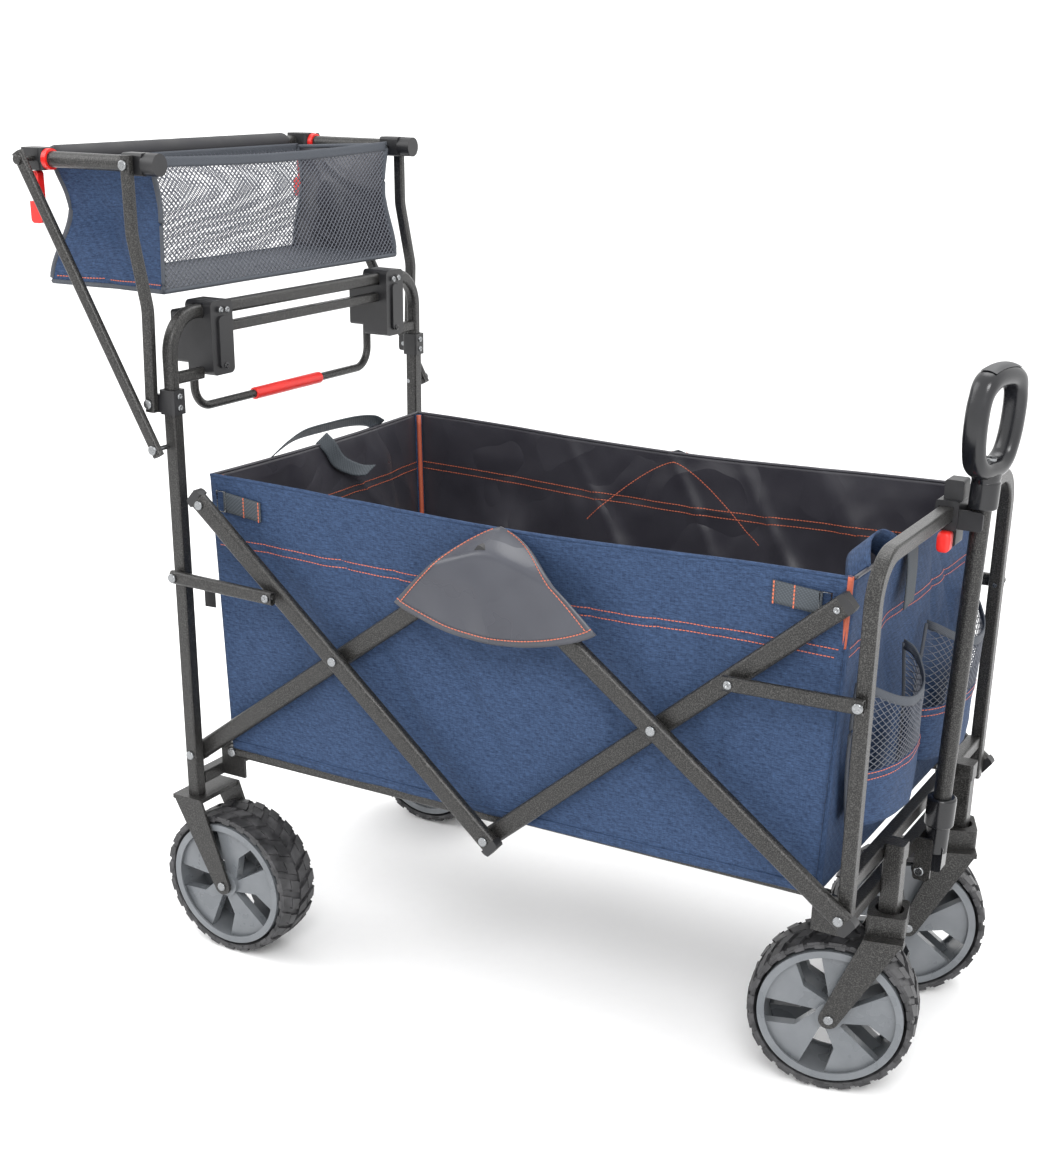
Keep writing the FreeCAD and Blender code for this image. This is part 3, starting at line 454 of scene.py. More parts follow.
def ribbon(name, points, across, width, look, body, slot, thickness=1.6):
    """Flat webbing or tape along a smooth line; across is its width direction."""
    line = curve_points(points, 8)
    across = across.normalized()
    rows = 6
    verts, cloth, along = [], [], 0.0
    for i, point in enumerate(line):
        along += (point - line[i - 1]).length if i else 0.0
        for k in range(rows + 1):
            shift = (k / rows - 0.5) * width * MM
            verts.append(point + across * shift)
            cloth.append((along, shift))
    made = piece(name, verts, grid_faces(rows, len(line) - 1), [look], body, slot, cloth)
    solidify(made, thickness)
    return made


def net(name, surface, cells, yarn, body, slot, flat):
    """Open mesh of staggered diamonds over surface(s, t)."""
    nu, nv = cells
    index, verts, cloth, faces = {}, [], [], []

    def vertex(i, j):
        if (i, j) not in index:
            index[i, j] = len(verts)
            verts.append(surface(i / nu, j / nv))
            cloth.append((i / nu * flat[0] * MM, j / nv * flat[1] * MM))
        return index[i, j]

    for j in range(1, nv):
        for i in range(1, nu):
            if (i + j) % 2:
                faces.append([vertex(i, j - 1), vertex(i + 1, j), vertex(i, j + 1), vertex(i - 1, j)])
    made = piece(name, verts, faces, ["mesh"], body, slot, cloth)
    wires = made.modifiers.new("yarn", "WIREFRAME")
    wires.thickness = yarn * MM
    wires.use_even_offset = False
    return made


def stitches(name, lines, body, width=1.1):
    """Rows of thread dashes; each line is a list of (point, outward normal)."""
    length, gap, proud = 3.3, 1.1, 0.5
    verts, faces = [], []
    for line in lines:
        travelled, due = 0.0, 0.0
        for (p, n), (q, _) in zip(line, line[1:]):
            step = (q - p).length
            if step < 1e-9:
                continue
            tangent = (q - p) / step
            while due < travelled + step:
                start = p + tangent * (due - travelled)
                side = n.cross(tangent).normalized() * width * MM / 2
                lift = n * proud * MM
                end = start + tangent * length * MM
                base = len(verts)
                middle = (start + end) / 2 + lift
                verts += [start - side, start + side, middle + side, middle - side, end + side, end - side]
                faces += [(base, base + 1, base + 2, base + 3), (base + 3, base + 2, base + 4, base + 5)]
                due += (length + gap) * MM
            travelled += step
    return piece(name, verts, faces, ["stitch"], body, "stitch")


def on_surface(surface, path, lift):
    """(point, normal) along (s, t) steps on a surface, lifted by so many millimetres along its normal."""
    out = []
    for s, t in path:
        d = 0.002
        p = surface(s, t)
        normal = (surface(s + d, t) - p).cross(surface(s, t + d) - p).normalized()
        out.append((p + normal * lift * MM, normal * (1 if lift > 0 else -1)))
    return out


def row(t, start=0.01, end=0.99, count=160):
    return [(mix(start, end, i / count), t) for i in range(count + 1)]


def line_at(surface, t, count=60):
    """Points along a surface at one t."""
    return [surface(k / count, t) for k in range(count + 1)]


def squash_with_fold(*pieces):
    for obj in pieces:
        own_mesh(obj)


# ---------------------------------------------------------------- cargo bag

def rim_height(s):
    return RIM_Z - RIM_DIP * arch(s) ** 2


def side_wall(sign):
    def surface(s, t):
        x = mix(mix(-410, BAG_REAR_X, t), mix(407, BAG_FRONT_X - 3, t), s)
        z = mix(FLOOR_Z - 1 - 4 * arch(s), rim_height(s), t)
        free = min(1.0, 6 * s, 6 * (1 - s)) * arch(min(1.0, t * 0.93 + 0.02))
        slack = 4.0 + 5 * folds(x, z, 3.7 * sign, 150) + 3 * folds(x * 1.3, z * 0.5, 9.1 * sign, 60)
        slack += 7 * crease(x + 0.6 * z, z * 0.4, 5.3 * sign, 120)
        slack += 6 * crease(x, z * 0.3, 2.9 * sign, 70) * smooth(s * 2 - 0.8)
        return at(x, sign * (BAG_Y - 1.5 - max(0.0, slack) * free), z)
    return surface


def end_wall(sign):
    def surface(s, t):
        half = mix(226, CORNER_Y, t)
        y = mix(-half, half, s)
        z = mix(FLOOR_Z - 1, RIM_Z - 3 * arch(s), t)
        free = min(1.0, 5 * s, 5 * (1 - s)) * arch(min(1.0, t * 0.93 + 0.02))
        slack = 5 + 5 * folds(y, z, 2.3 * sign, 110) + 5 * crease(y + 0.7 * z, z * 0.5, 7.7 * sign, 90)
        inset = 1.5 + max(0.0, slack) * free
        return at(sign * (mix(411, -BAG_REAR_X, t) - inset), y, z)
    return surface


def floor_panel(s, t):
    x, y = mix(-411, 410, s), mix(-235.5, 235.5, t)
    free = arch(s) * arch(t)
    return at(x, y, FLOOR_Z - 1 + 2.0 * free * folds(x, y, 4.4, 120))


def seam_rows(surface, outward):
    """The double rows of stitching outside and inside a wall."""
    gap = (PLY / 2 + 0.8) * outward
    return [on_surface(surface, row(t), lift) for seam, lift in ((OUTER_SEAM, gap), (INNER_SEAM, -gap))
            for t in (seam, seam - SEAM_GAP)]


def peak_rows(surface, outward):
    """Stitched outline of the hub flap as it shows on the lining."""
    s, t, spread, drop = 0.5, 0.965, 0.155, 0.27
    paths = [[(mix(s, s + side * spread, k / 40), t - drop * (k / 40) ** 1.35) for k in range(41)]
             for side in (-1, 1)]
    return [on_surface(surface, path, -(PLY / 2 + 0.25) * outward) for path in paths]


def build_bag():
    for tag, sign in (("r", -1), ("l", 1)):
        surface = side_wall(sign)
        wall = panel(f"bag_side_{tag}", surface, (850, 372), (150, 64), ["denim", "lining"], "rear_frame", "denim",
                     flip=sign > 0)
        roll = tube(f"bag_rim_{tag}", line_at(surface, RIM_SHARE), RIM_ROLL, "denim" if sign < 0 else "lining",
                    "rear_frame", "denim")
        hem = tube(f"bag_hem_{tag}", [p + Vector((0, sign * HEM * MM, 0)) for p in line_at(surface, 0.03)], HEM,
                   "denim", "rear_frame", "denim")
        rows = seam_rows(surface, -sign) + peak_rows(surface, -sign)
        sewn = stitches(f"bag_stitches_{tag}", rows, "rear_frame")
        squash_with_fold(wall, roll, hem, sewn)
        if sign < 0:
            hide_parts("bag_sides")
    for tag, sign, body, node in (("rear", -1, "rear_frame", "bag_rear"), ("front", 1, "front_frame", "bag_front")):
        surface = end_wall(sign)
        wall = panel(f"bag_{tag}_wall", surface, (470, 372), (84, 64), ["denim", "lining"], body, "denim",
                     flip=sign < 0)
        roll = tube(f"bag_rim_{tag}", line_at(surface, RIM_SHARE), RIM_ROLL, "lining", body, "lining")
        sewn = stitches(f"bag_stitches_{tag}", seam_rows(surface, sign), body)
        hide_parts(node)
        for side, y_sign in (("r", -1), ("l", 1)):
            corner = [at(sign * mix(405, 419, k / 24), y_sign * mix(224, 230.5, k / 24),
                         mix(FLOOR_Z, RIM_Z - 2, k / 24)) for k in range(25)]
            tube(f"bag_corner_{tag}_{side}", corner, 6.0, "denim", body, "denim")
            tape = [p + Vector((-sign * 4.5, -y_sign * 4.5, 0)) * MM for p in corner]
            tube(f"bag_piping_{tag}_{side}", tape, 3.4, "piping", body, "stitch")
    base = panel("bag_floor_panel", floor_panel, (821, 471), (60, 34), ["lining"], "rear_frame", "lining")
    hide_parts("bag_floor")
    squash_with_fold(base)


# ---------------------------------------------------------------- hub flaps, tabs, straps

def flap_surface(sign):
    apex, left, right = (1.0, 644.5), (-120.0, 545.0), (148.0, 551.0)

    def surface(s, t):
        """t runs down from the rim, s from the rear edge to the front edge."""
        side = left if s < 0.5 else right
        spread = abs(2 * s - 1)
        edge_x = mix(apex[0], side[0], t)
        edge_z = mix(apex[1], side[1], t ** 1.12) + 9 * arch(t)
        belly = 34 * max(0.0, math.cos(math.pi * (s - 0.5))) ** 0.8 * t ** 2
        x = mix(mix(apex[0], (left[0] + right[0]) / 2, t), edge_x, spread)
        z = mix(mix(apex[1], 550, t), edge_z, spread) - belly
        out = smooth((apex[1] - z) / mix(26, 52, spread ** 3))
        puff = 2.2 * folds(x, z, 6.6 * sign, 70) * t
        return at(x, sign * (mix(BAG_Y + 1.5, HUB_Y, out) + puff), z)
    return surface


def build_flaps():
    for tag, sign in (("r", -1), ("l", 1)):
        surface = flap_surface(sign)
        flap = panel(f"hub_flap_{tag}", surface, (270, 140), (56, 34), ["flap"], "rear_frame", "lining", 1.4,
                     flip=sign > 0)
        edge = [(k / 60, 0.955) for k in range(61)]
        sides = [[(s, k / 40) for k in range(3, 39)] for s in (0.02, 0.98)]
        out, proud = Vector((0, sign, 0)), Vector((0, sign * 1.2 * MM, 0))
        rows = [[(p + proud, out) for p, _ in on_surface(surface, path, sign)] for path in (edge, *sides)]
        sewn = stitches(f"hub_flap_stitches_{tag}", rows, "rear_frame")
        squash_with_fold(flap, sewn)


def build_tabs():
    """Webbing tabs that tie each upper corner of the bag to the ends of the high bars."""
    for tag, sign in (("r", -1), ("l", 1)):
        y = sign * (BAG_Y + 1.6)
        for end, x_in, x_out, z_in, z_out in (("rear", -345, -401, 612, 619), ("front", 335, 392, 623, 619)):
            points = [at(x_in, y, z_in), at(mix(x_in, x_out, 0.5), y + sign, mix(z_in, z_out, 0.5)),
                      at(x_out, y + sign * 2, z_out)]
            tab = ribbon(f"tab_{end}_{tag}", points, Vector((0, 0, 1)), WEBBING, "webbing", "rear_frame", "webbing")
            lines = []
            for share in (0.04, 0.45):
                x, z = mix(x_in, x_out, share), mix(z_in, z_out, share)
                lines.append([(at(x, y + sign * 1.8, z + dz), Vector((0, sign, 0))) for dz in range(-13, 14)])
            sewn = stitches(f"tab_stitches_{end}_{tag}", lines, "rear_frame", width=1.6)
            out = math.copysign(10, x_out)
            corners = [at(x_out + dx, y + sign * 2.5, z_out + dz)
                       for dx, dz in ((-out * 0.3, -13), (out, -13), (out, 13), (-out * 0.3, 13))]
            ring = tube(f"tab_ring_{end}_{tag}", corners, 1.3, "zinc", "rear_frame", "zinc", closed=True)
            squash_with_fold(tab, sewn, ring)


def build_straps():
    """Carry strap over the rear rim, its tail inside, and the strap on the front wall."""
    rear = BAG_REAR_X
    carry = [at(rear, -112, 648), at(rear - 3, -85, 656), at(rear - 7, -40, 664), at(rear - 8, 20, 664),
             at(rear - 7, 80, 662), at(rear - 3, 118, 657), at(rear + 1, 136, 648)]
    tilt = Vector((0.75, 0, 0.66))
    ribbon("carry_strap", carry, tilt, WEBBING, "webbing", "rear_frame", "webbing")
    tail = [at(rear + 3, -6, 655), at(rear + 9, 6, 640), at(rear + 12, 22, 618), at(rear + 22, 48, 603),
            at(rear + 34, 66, 600)]
    ribbon("carry_strap_tail", tail, Vector((0.1, 1, 0.5)), WEBBING, "webbing", "rear_frame", "webbing")
    front = BAG_FRONT_X
    down = [at(front - 6, -62, 652), at(front + 3, -60, 648), at(front + 5, -56, 620), at(front + 4, -52, 590),
            at(front + 3, -50, 572)]
    ribbon("front_strap", down, Vector((0, 1, 0.1)), 34.0, "webbing", "front_frame", "webbing")


# ---------------------------------------------------------------- front pouches

POUCH_BOTTOM, POUCH_SEAM, POUCH_TOP = 354.0, 424.0, 524.0


def pouch_surface(sign, low, high):
    """From the wall at the outer side, round the bulging front, to the wall near the handle."""
    def surface(s, t):
        z = mix(low, high, t)
        rise = (z - POUCH_BOTTOM) / (POUCH_TOP - POUCH_BOTTOM)
        arc = max(0.0, arch(clamp(s)))
        bulge = arc ** 0.5
        if high == POUCH_TOP:
            z -= 32 * t * arc ** 0.8
        depth = mix(38, 45, rise) * bulge + 1.5
        inner, outer = mix(25, 42, smooth(rise)), mix(196, 200, rise)
        swing = 12 * arch(rise) * math.cos(math.pi * s)
        y = mix(outer, inner, s) + swing
        ripple = 2.0 * folds(y, z, 2.2 * sign, 42) * bulge
        return at(BAG_FRONT_X + depth + ripple - 1.5, sign * y, z)
    return surface


def build_pouches():
    for tag, sign in (("r", -1), ("l", 1)):
        lower, upper = pouch_surface(sign, POUCH_BOTTOM, POUCH_SEAM), pouch_surface(sign, POUCH_SEAM, POUCH_TOP)
        base = panel(f"pouch_base_{tag}", lower, (230, 66), (48, 16), ["denim"], "front_frame", "denim", 1.4)
        rows = [[(p, n if n.x > 0 else -n) for p, n in on_surface(lower, row(t, 0.02, 0.98, 80), -sign * 1.1)]
                for t in (0.97, 0.86)]
        sewn = stitches(f"pouch_stitches_{tag}", rows, "front_frame")
        edge = line_at(lower, 0.0, 24)
        verts = [Vector((at(BAG_FRONT_X - 1, 0, 0).x, v.y, v.z)) for v in edge] + edge
        under = piece(f"pouch_bottom_{tag}", verts, grid_faces(24, 1), ["denim"], "front_frame", "denim",
                      [(v.y, v.x) for v in verts])
        solidify(under, 1.2)
        net(f"pouch_net_{tag}", upper, (38, 22), 1.5, "front_frame", "mesh", (235, 95))
        band = ribbon_loop(f"pouch_band_{tag}", line_at(upper, 1.0, 50), 11.0, "front_frame")
        for end, s in (("outer", 0.0), ("inner", 1.0)):
            line = [lower(s, k / 8) for k in range(9)] + [upper(s, k / 14) for k in range(1, 15)]
            tube(f"pouch_edge_{end}_{tag}", line, 2.2, "binding", "front_frame", "webbing")


def ribbon_loop(name, line, height, body):
    """Upright tape along a line."""
    verts, cloth, along = [], [], 0.0
    for i, point in enumerate(line):
        along += (point - line[i - 1]).length if i else 0.0
        for k in range(5):
            verts.append(point + Vector((0, 0, (k / 4 - 0.6) * height * MM)))
            cloth.append((along, k / 4 * height * MM))
    made = piece(name, verts, grid_faces(4, len(line) - 1), ["binding"], body, "webbing", cloth)
    return solidify(made, 1.8)


# ---------------------------------------------------------------- basket

def basket_waist(t):
    """How far the basket's upright edges bow in, 1 at the narrowest."""
    return arch(clamp(t) ** 1.25) ** 1.5


def basket_rear_x(t):
    return mix(BASKET_X[0], BASKET_X[0] + 16, smooth(t * 1.2)) + 14 * basket_waist(t)


def basket_front_x(t):
    return BASKET_X[1] - 9 * smooth((t - 0.6) / 0.4) - 9 * basket_waist(t)


def basket_end(sign):
    def surface(s, t):
        x = mix(basket_rear_x(t), basket_front_x(t), s)
        z = mix(BASKET_Z[0], BASKET_Z[1] - 14 + 8 * s, t)
        free = arch(clamp(s)) * arch(min(1.0, 0.1 + t * 0.9))
        inward = 6 * free * (1 + folds(x, z, 8.8 * sign, 60)) + 9 * free * crease(x + z, z, 3.1 * sign, 80)
        return at(x, sign * (BASKET_Y - inward - 11 * basket_waist(t) - 4 * t), z)
    return surface


def basket_long(which):
    def surface(s, t):
        edge = clamp(s)
        across = mix(-1, 1, s) * (BASKET_Y - 11 * basket_waist(t) - 4 * t)
        waist = 5 * arch(t) * arch(edge) + 3 * folds(across, t * 150, 5.1, 120)
        x = basket_front_x(t) - waist * arch(edge)
        top = BASKET_Z[1] - 6 - 5 * arch(edge)
        if which == "rear":
            x = basket_rear_x(t) + waist * arch(edge)
            top = BASKET_Z[1] - 14
        return at(x, across, mix(BASKET_Z[0], top, t))
    return surface


def basket_floor(s, t):
    x, y = mix(BASKET_X[0], BASKET_X[1], s), mix(-BASKET_Y, BASKET_Y, t)
    return at(x, y, BASKET_Z[0] + 1.5 * folds(x, y, 1.9, 90) * arch(s) * arch(t))


def build_basket():
    body = "push_handle"
    for tag, sign in (("r", -1), ("l", 1)):
        surface = basket_end(sign)
        end = panel(f"basket_end_{tag}", surface, (172, 150), (36, 32), ["denim", "lining"], body, "denim", 2.0,
                    flip=sign > 0)
        tapes = [tube(f"basket_tape_{side}_{tag}", [surface(s, k / 30) for k in range(31)], 4.0, "binding", body,
                      "webbing", squash=0.6) for side, s in (("rear", 0.0), ("front", 1.0))]
        tapes += [tube(f"basket_tape_{edge}_{tag}", line_at(surface, t, 30), 3.0, "binding", body, "webbing")
                  for edge, t in (("low", 0.0), ("top", 1.0))]
        sewn = stitches(f"basket_stitches_{tag}", [on_surface(surface, row(0.05, 0.04, 0.96, 60), 1.3 * -sign)], body)
        if sign < 0:
            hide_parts("basket_shell")
    for which in ("front", "rear"):
        surface = basket_long(which)
        net(f"basket_net_{which}", surface, (112, 40), 1.9, body, "mesh", (496, 150))
        top = ribbon_loop(f"basket_band_{which}", line_at(surface, 1.0), BAND, body)
        tube(f"basket_hem_{which}", line_at(surface, 0.0), 3.0, "binding", body, "webbing")
    base = panel("basket_floor_panel", basket_floor, (178, 498), (24, 60), ["binding"], body, "lining", 1.6)


# ---------------------------------------------------------------- wheels

TREAD = 24
TYRE_PROFILE = ((0.86, 0.5), (0.90, 0.93), (0.935, 1.0), (0.955, 0.93), (0.962, 0.6), (0.964, 0.0))


def wheel_space(node, joint):
    """Matrix from a wheel's own space, its axle along Y, to its place at rest."""
    axis = Vector(next(j["axis"] for j in frame["joints"] if j["name"] == joint))
    yaw = math.atan2(-axis.x, axis.y)
    return Matrix.Translation(centre(node)) @ Matrix.Rotation(yaw, 4, "Z")


def tread_block(verts, faces, angle, width, y0, y1, skew, radius, depth, shoulder=0.0):
    """One raised block between two angles and two places across the tyre."""
    base = len(verts)
    for level in (0, 1):
        for u, v in ((0, 0), (1, 0), (1, 1), (0, 1)):
            inset = 0.06 * level
            a = angle + width * mix(u, 0.5, inset) + skew * (mix(y0, y1, v) - y0)
            y = mix(mix(y0, y1, v), (y0 + y1) / 2, inset * 0.6)
            r = radius - depth + depth * level - (shoulder if v else 0.0)
            verts.append(Vector((r * math.cos(a), y, r * math.sin(a))))
    faces += [(base + 4, base + 5, base + 6, base + 7)]
    for k in range(4):
        n = (k + 1) % 4
        faces.append((base + k, base + n, base + 4 + n, base + 4 + k))


def tyre_mesh(radius, half):
    verts, faces = [], []
    turns = 96
    across = [(r, -y) for r, y in TYRE_PROFILE] + [(r, y) for r, y in TYRE_PROFILE[-2::-1]]
    for i in range(turns):
        a = 2 * math.pi * i / turns
        for r, y in across:
            verts.append(Vector((radius * r * math.cos(a), half * y, radius * r * math.sin(a))))
    count = len(across)
    for i in range(turns):
        for k in range(count - 1):
            a, b = i * count + k, (i + 1) % turns * count + k
            faces.append((a, a + 1, b + 1, b))
    pitch = 2 * math.pi / TREAD
    depth = radius * 0.05
    for i in range(TREAD):
        for side in (-1, 1):
            angle = pitch * (i + (0.5 if side > 0 else 0.0))
            skew = side * 0.16 / half
            tread_block(verts, faces, angle, pitch * 0.66, side * half * 0.04, side * half * 0.50, skew, radius,
                        depth)
            tread_block(verts, faces, angle + pitch * 0.42, pitch * 0.62, side * half * 0.52, side * half * 0.985,
                        skew, radius, depth * 1.15, radius * 0.022)
            tread_block(verts, faces, angle + pitch * 0.50, pitch * 0.5, side * half * 0.93, side * half * 1.0,
                        0.0, radius * 0.972, depth * 0.9, radius * 0.03)
    return verts, faces


def build_tyres():
    rear_low, rear_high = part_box("rear_tyre_r")
    half = (rear_high.y - rear_low.y) / 2
    for where in ("rear", "front"):
        for side in ("r", "l"):
            node, body = f"{where}_tyre_{side}", f"{where}_wheel_{side}"
            space = wheel_space(node, f"{where}_wheel_spin_{side}")
            low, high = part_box(node)
            radius = (high.z - low.z) / 2
            verts, faces = tyre_mesh(radius, half)
            tyre = piece(f"tread_{where}_{side}", [space @ v for v in verts], faces, ["tyre"], body, "tyre")
            tyre.data.set_sharp_from_angle(angle=math.radians(30))
            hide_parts(node)


# ---------------------------------------------------------------- grips

def build_grip():
    """Moulded D-grip: a closed loop with an oval section on a neck, and the soft pad on its top."""
    low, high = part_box("d_grip")
    pad_low, pad_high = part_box("grip_pad")
    x0, x1 = centre("handle_fittings").x, (pad_low.x + pad_high.x) / 2
    lean = math.atan2(x1 - x0, high.z - centre("handle_fittings").z)
    foot = Vector(((low.x + high.x) / 2 - math.sin(lean) * (high.z - low.z) / 2, 0, low.z))
    up = Vector((math.sin(lean), 0, math.cos(lean)))
    fore = Vector((math.cos(lean), 0, -math.sin(lean)))
    across = Vector((0, 1, 0))
    height = high.z - low.z
    turn = math.radians(GRIP_TURN)
    fore, across = fore * math.cos(turn) - across * math.sin(turn), fore * math.sin(turn) + across * math.cos(turn)
    outline = ((0, 0.10), (-18, 0.115), (-31, 0.20), (-38, 0.36), (-40.5, 0.55), (-39, 0.75), (-31, 0.90),
               (-14, 0.965), (14, 0.965), (31, 0.90), (39, 0.75), (40.5, 0.55), (38, 0.36), (31, 0.20), (18, 0.115))
    points = [Vector((y, h * height / MM, 0)) for y, h in outline]
    loop = spline([points[-1], *points, *points[:2]], 6)
    verts, sides = [], 20
    count = len(loop)
    for i, p in enumerate(loop):
        tangent = (loop[(i + 1) % count] - loop[i - 1]).normalized()
        out = Vector((tangent.y, -tangent.x, 0))
        share = p.y * MM / height
        ends = max(1 - smooth(share / 0.28), smooth((share - 0.78) / 0.16))
        thick, deep = mix(9.6, 12.0, ends), mix(13.5, 15.0, ends)
        for c, d in circle(sides):
            ring = p + out * thick * squared(c, 0.8)
            verts.append(foot + up * ring.y * MM + across * ring.x * MM + fore * deep * squared(d, 0.8) * MM)
    faces = tube_faces(count, sides, closed=True)
    base = len(verts)
    neck = ((-0.05, 15.5, 14.5), (-0.02, 17.0, 15.5), (0.02, 20.0, 15.5), (0.06, 26.0, 14.5), (0.10, 30.0, 12.0))
    for h, wide, deep in neck:
        for c, d in circle(24):
            verts.append(foot + up * h * height + across * wide * c * MM + fore * deep * d * MM)
    faces += tube_faces(len(neck), 24, base)
    grip = piece("grip_moulding", verts, faces, ["gloss"], "grip", "moulding")
    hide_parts("d_grip")
    build_pad(foot, up, fore, across, height)


def build_pad(foot, up, fore, across, height):
    verts, faces = [], []
    nu, nv = 24, 8
    for layer in (1, -1):
        for j in range(nv + 1):
            for i in range(nu + 1):
                u, v = i / nu * 2 - 1, j / nv * 2 - 1
                crown = max(0.0, 1 - abs(u) ** 4) * max(0.0, 1 - abs(v) ** 3)
                h = height * 0.975 + 12.4 * MM + (layer * 1.6 * crown - 4.5 * u * u - 2.2 * v * v) * MM
                verts.append(foot + up * h + across * u * 30 * MM + fore * v * 10.5 * MM)
    top = (nu + 1) * (nv + 1)
    faces += grid_faces(nu, nv)
    faces += [tuple(top + k for k in f[::-1]) for f in grid_faces(nu, nv)]
    pad = piece("grip_soft_pad", verts, faces, ["grip_pad"], "grip", "grip_pad")
    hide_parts("grip_pad")


def build_foam():
    low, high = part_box("push_foam")
    middle, radius = (low + high) / 2, (high.z - low.z) / 2
    half = (high.y - low.y) / 2
    verts, sides = [], 32
    stations = [-1, -0.995, -0.985, -0.97] + [k / 20 for k in range(-19, 20)] + [0.97, 0.985, 0.995, 1]
    for share in stations:
        end = 1 - max(0.0, (abs(share) - 0.97) / 0.03) ** 2 * 0.22
        r = radius * end * (0.985 + 0.012 * noise.noise(Vector((share * 9, 0, 0))))
        verts += [middle + Vector((r * c, share * half, r * d)) for c, d in circle(sides)]
    faces = tube_faces(len(stations), sides, inward=True)
    foam = piece("push_bar_foam", verts, faces, ["foam"], "push_handle", "foam")
    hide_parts("push_foam")


# ---------------------------------------------------------------- rivets, screws, label

def domed_head(name, place, axis, radius, height, look, body, slot):
    """Rivet or screw head with a recess, standing along axis."""
    axis = axis.normalized()
    side = axis.orthogonal().normalized()
    other = axis.cross(side)
    rings = ((1.0, 0.0), (1.0, 0.35), (0.9, 0.75), (0.62, 0.97), (0.42, 1.0), (0.34, 0.45), (0.05, 0.4))
    sides = 20
    verts = [place + (side * c + other * d) * r * radius * MM + axis * h * height * MM
             for r, h in rings for c, d in circle(sides)]
    return piece(name, verts, tube_faces(len(rings), sides, foot=False), [look], body, slot)


# Extra heads, the same on both sides: name, node that they stand on, places, body and look. A place is
# (x, y, z, axis), with None where the node's own outer face gives it.
FRONT_FACE, SIDE_FACE = (1, 0), (0, 1)
FIXINGS = (
    ("housing_screw", "lock_housings", ((None, HOUSING_SCREW_Y, 848, FRONT_FACE),
                                        (None, HOUSING_SCREW_Y - 12, 847, FRONT_FACE)), "rear_frame", "zinc"),
    ("housing_plug", "lock_housings", ((None, HOUSING_SCREW_Y - 6, 779, FRONT_FACE),), "rear_frame", "gloss"),
    ("strut_foot_bolt", "straight_struts", ((STRAIGHT_FOOT[0], STRUT_FACE_Y, STRAIGHT_FOOT[1], SIDE_FACE),),
     "straight_strut", "zinc"),
    ("high_bar_rivet", "front_high_bars", ((FRONT_TOP_PIVOT[0], None, FRONT_TOP_PIVOT[1], SIDE_FACE),),
     "front_high_bar", "zinc"),
    ("clamp_screw", "frame_clamps", ((CLAMP_FACE_X, CLAMP_SCREW_Y, 751, FRONT_FACE),
                                     (CLAMP_FACE_X, CLAMP_SCREW_Y, 737, FRONT_FACE)), "rear_frame", "zinc"),
)


LINK_END = 8.5
RIVET, SCREW = (5.2, 2.4), (4.0, 1.8)


def hinge_point(joint):
    return Vector(next(j["pos_m"] for j in frame["joints"] if j["name"] == joint))


def build_hardware():
    for side, sign in (("r", -1), ("l", 1)):
        for name, node, joint, body in (("rear_link", "rear_links", "rear_link_pivot", "rear_link"),
                                        ("front_link", "front_links", "front_link_pivot", "front_link")):
            low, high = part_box(node)
            pivot = hinge_point(joint)
            far_end = low.x if abs(low.x - pivot.x) > abs(high.x - pivot.x) else high.x
            inset = LINK_END * MM * (1 if far_end == low.x else -1)
            near_z = low.z + LINK_END * MM if pivot.z > (low.z + high.z) / 2 else high.z - LINK_END * MM
            spot = Vector((far_end + inset, sign * high.y, near_z))
            domed_head(f"{name}_rivet_{side}", spot, Vector((0, sign, 0)), *RIVET, "zinc", body, "zinc")
        for tag, node, places, body, look in FIXINGS:
            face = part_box(node)[1]
            for i, (x, y, z, axis) in enumerate(places):
                spot = at(x or 0, sign * (y or face.y / MM), z)
                if x is None:
                    spot.x = face.x
                domed_head(f"{tag}_{i}_{side}", spot, Vector((axis[0], sign * axis[1], 0)), *SCREW, look, body,
                           "zinc" if look == "zinc" else "moulding")
    label = [at(BAG_REAR_X - 3 - 16 * s, -236 - 1.5 * s, 500 - 26 * t) for t in (0, 1) for s in (0, 1)]
    tag = piece("side_label", label, grid_faces(1, 1), ["label"], "rear_frame", "webbing",
                [(0, 0), (0.016, 0), (0, 0.026), (0.016, 0.026)])
    solidify(tag, 1.2)


def build_button():
    """Upright lozenge button of the snap clip."""
    low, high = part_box("clip_button")
    middle = Vector(((low.x + high.x) / 2, low.y, (low.z + high.z) / 2 - 2 * MM))
    rings = ((0.3, 0.0), (0.75, 0.0), (0.93, 1.2), (1.0, 3.5), (1.0, 15.5), (0.2, 15.6))
    half_wide, half_tall, sides = 7.6, 12.0, 40
    verts = [middle + Vector((squared(c, 0.55) * half_wide * grow, back, squared(d, 0.55) * half_tall * grow)) * MM
             for grow, back in rings for c, d in circle(sides)]
    button = piece("clip_push_button", verts, tube_faces(len(rings), sides), ["red_plastic"], "clip_button",
                   "red_plastic")
    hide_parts("clip_button")


def build_front_trim():
    """Denim carry loop along the front rim, and the orange tape at the front corners."""
    x = BAG_FRONT_X - 8
    loop = [at(x - 4, -192, 642), at(x - 10, -178, 652), at(x - 18, -150, 660), at(x - 18, -118, 661),
            at(x - 12, -96, 653), at(x - 4, -84, 642)]
    ribbon("front_carry_loop", loop, Vector((0.72, 0, 0.69)), 34.0, "denim", "front_frame", "denim", 2.4)
    for side, sign in (("r", -1), ("l", 1)):
        outer = [at(mix(416.5, 419.5, k / 20), sign * mix(233.2, 236.0, k / 20), mix(572, RIM_Z + 1, k / 20))
                 for k in range(21)]
        tube(f"corner_tape_{side}", outer, 3.4, "piping", "front_frame", "stitch")


# ---------------------------------------------------------------- stage, camera, lights

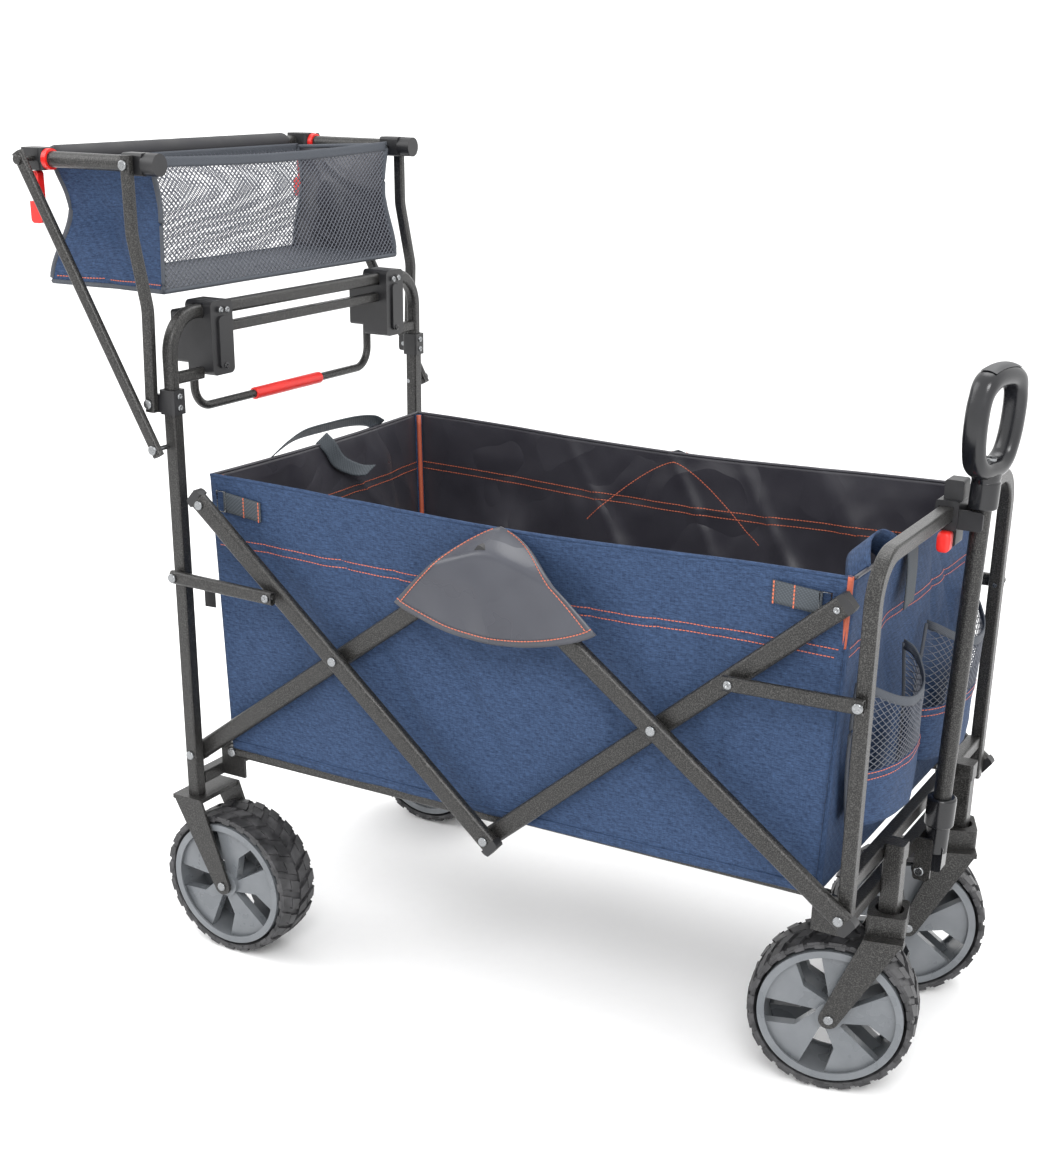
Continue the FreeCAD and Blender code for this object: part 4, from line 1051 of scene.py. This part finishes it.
def build_stage():
    floor = bpy.data.meshes.new("floor")
    reach = 14.0
    floor.from_pydata([(-reach, -reach, 0), (reach, -reach, 0), (reach, reach, 0), (-reach, reach, 0)], [],
                      [(0, 1, 2, 3)])
    paper = Look("pale_floor", 0.9)
    grain = paper.noise(paper.place(), 60.0)
    paper.colour(paper.blend(grain, (0.93, 0.93, 0.93), (0.96, 0.96, 0.96)))
    floor.materials.append(paper.material)
    stage = bpy.data.objects.new("floor", floor)
    bpy.context.scene.collection.objects.link(stage)


def soft_light(name, place, size, power):
    lamp = bpy.data.lights.new(name, "AREA")
    lamp.shape = "DISK"
    lamp.size = size
    lamp.energy = power
    made = bpy.data.objects.new(name, lamp)
    made.location = place
    aim = Vector((0, 0, 0.45)) - Vector(place)
    made.rotation_mode = "QUATERNION"
    made.rotation_quaternion = aim.to_track_quat("-Z", "Y")
    bpy.context.scene.collection.objects.link(made)


def build_lights():
    world = bpy.data.worlds.new("studio")
    bpy.context.scene.world = world
    world.use_nodes = True
    world.node_tree.nodes["Background"].inputs["Color"].default_value = (1, 1, 1, 1)
    world.node_tree.nodes["Background"].inputs["Strength"].default_value = 1.5
    soft_light("key", (1.6, -2.6, 2.9), 1.6, 62)
    soft_light("rear_fill", (-2.6, -1.2, 2.4), 2.0, 26)
    soft_light("top", (0.0, 1.2, 3.4), 2.2, 34)


def build_camera():
    azimuth, elevation, roll = math.radians(29.33), math.radians(21.3), math.radians(-0.85)
    back = Vector((math.sin(azimuth) * math.cos(elevation), -math.cos(azimuth) * math.cos(elevation),
                   math.sin(elevation)))
    right = Vector((math.cos(azimuth), math.sin(azimuth), 0))
    up = back.cross(right)
    right, up = right * math.cos(roll) - up * math.sin(roll), right * math.sin(roll) + up * math.cos(roll)
    lens = bpy.data.cameras.new("camera")
    lens.lens, lens.sensor_width = 52.39, 36.0
    lens.shift_x, lens.shift_y = -0.0098, 0.1078
    camera = bpy.data.objects.new("camera", lens)
    camera.matrix_world = Matrix(((right.x, up.x, back.x, 1.0400), (right.y, up.y, back.y, -1.8742),
                                  (right.z, up.z, back.z, 1.1548), (0, 0, 0, 1)))
    bpy.context.scene.collection.objects.link(camera)
    bpy.context.scene.camera = camera
    bpy.context.scene.view_settings.view_transform = "Standard"


dress_cad_nodes()
build_bag()
build_flaps()
build_tabs()
build_straps()
build_pouches()
build_basket()
build_tyres()
build_grip()
build_foam()
build_hardware()
build_button()
build_front_trim()
build_stage()
build_lights()
build_camera()
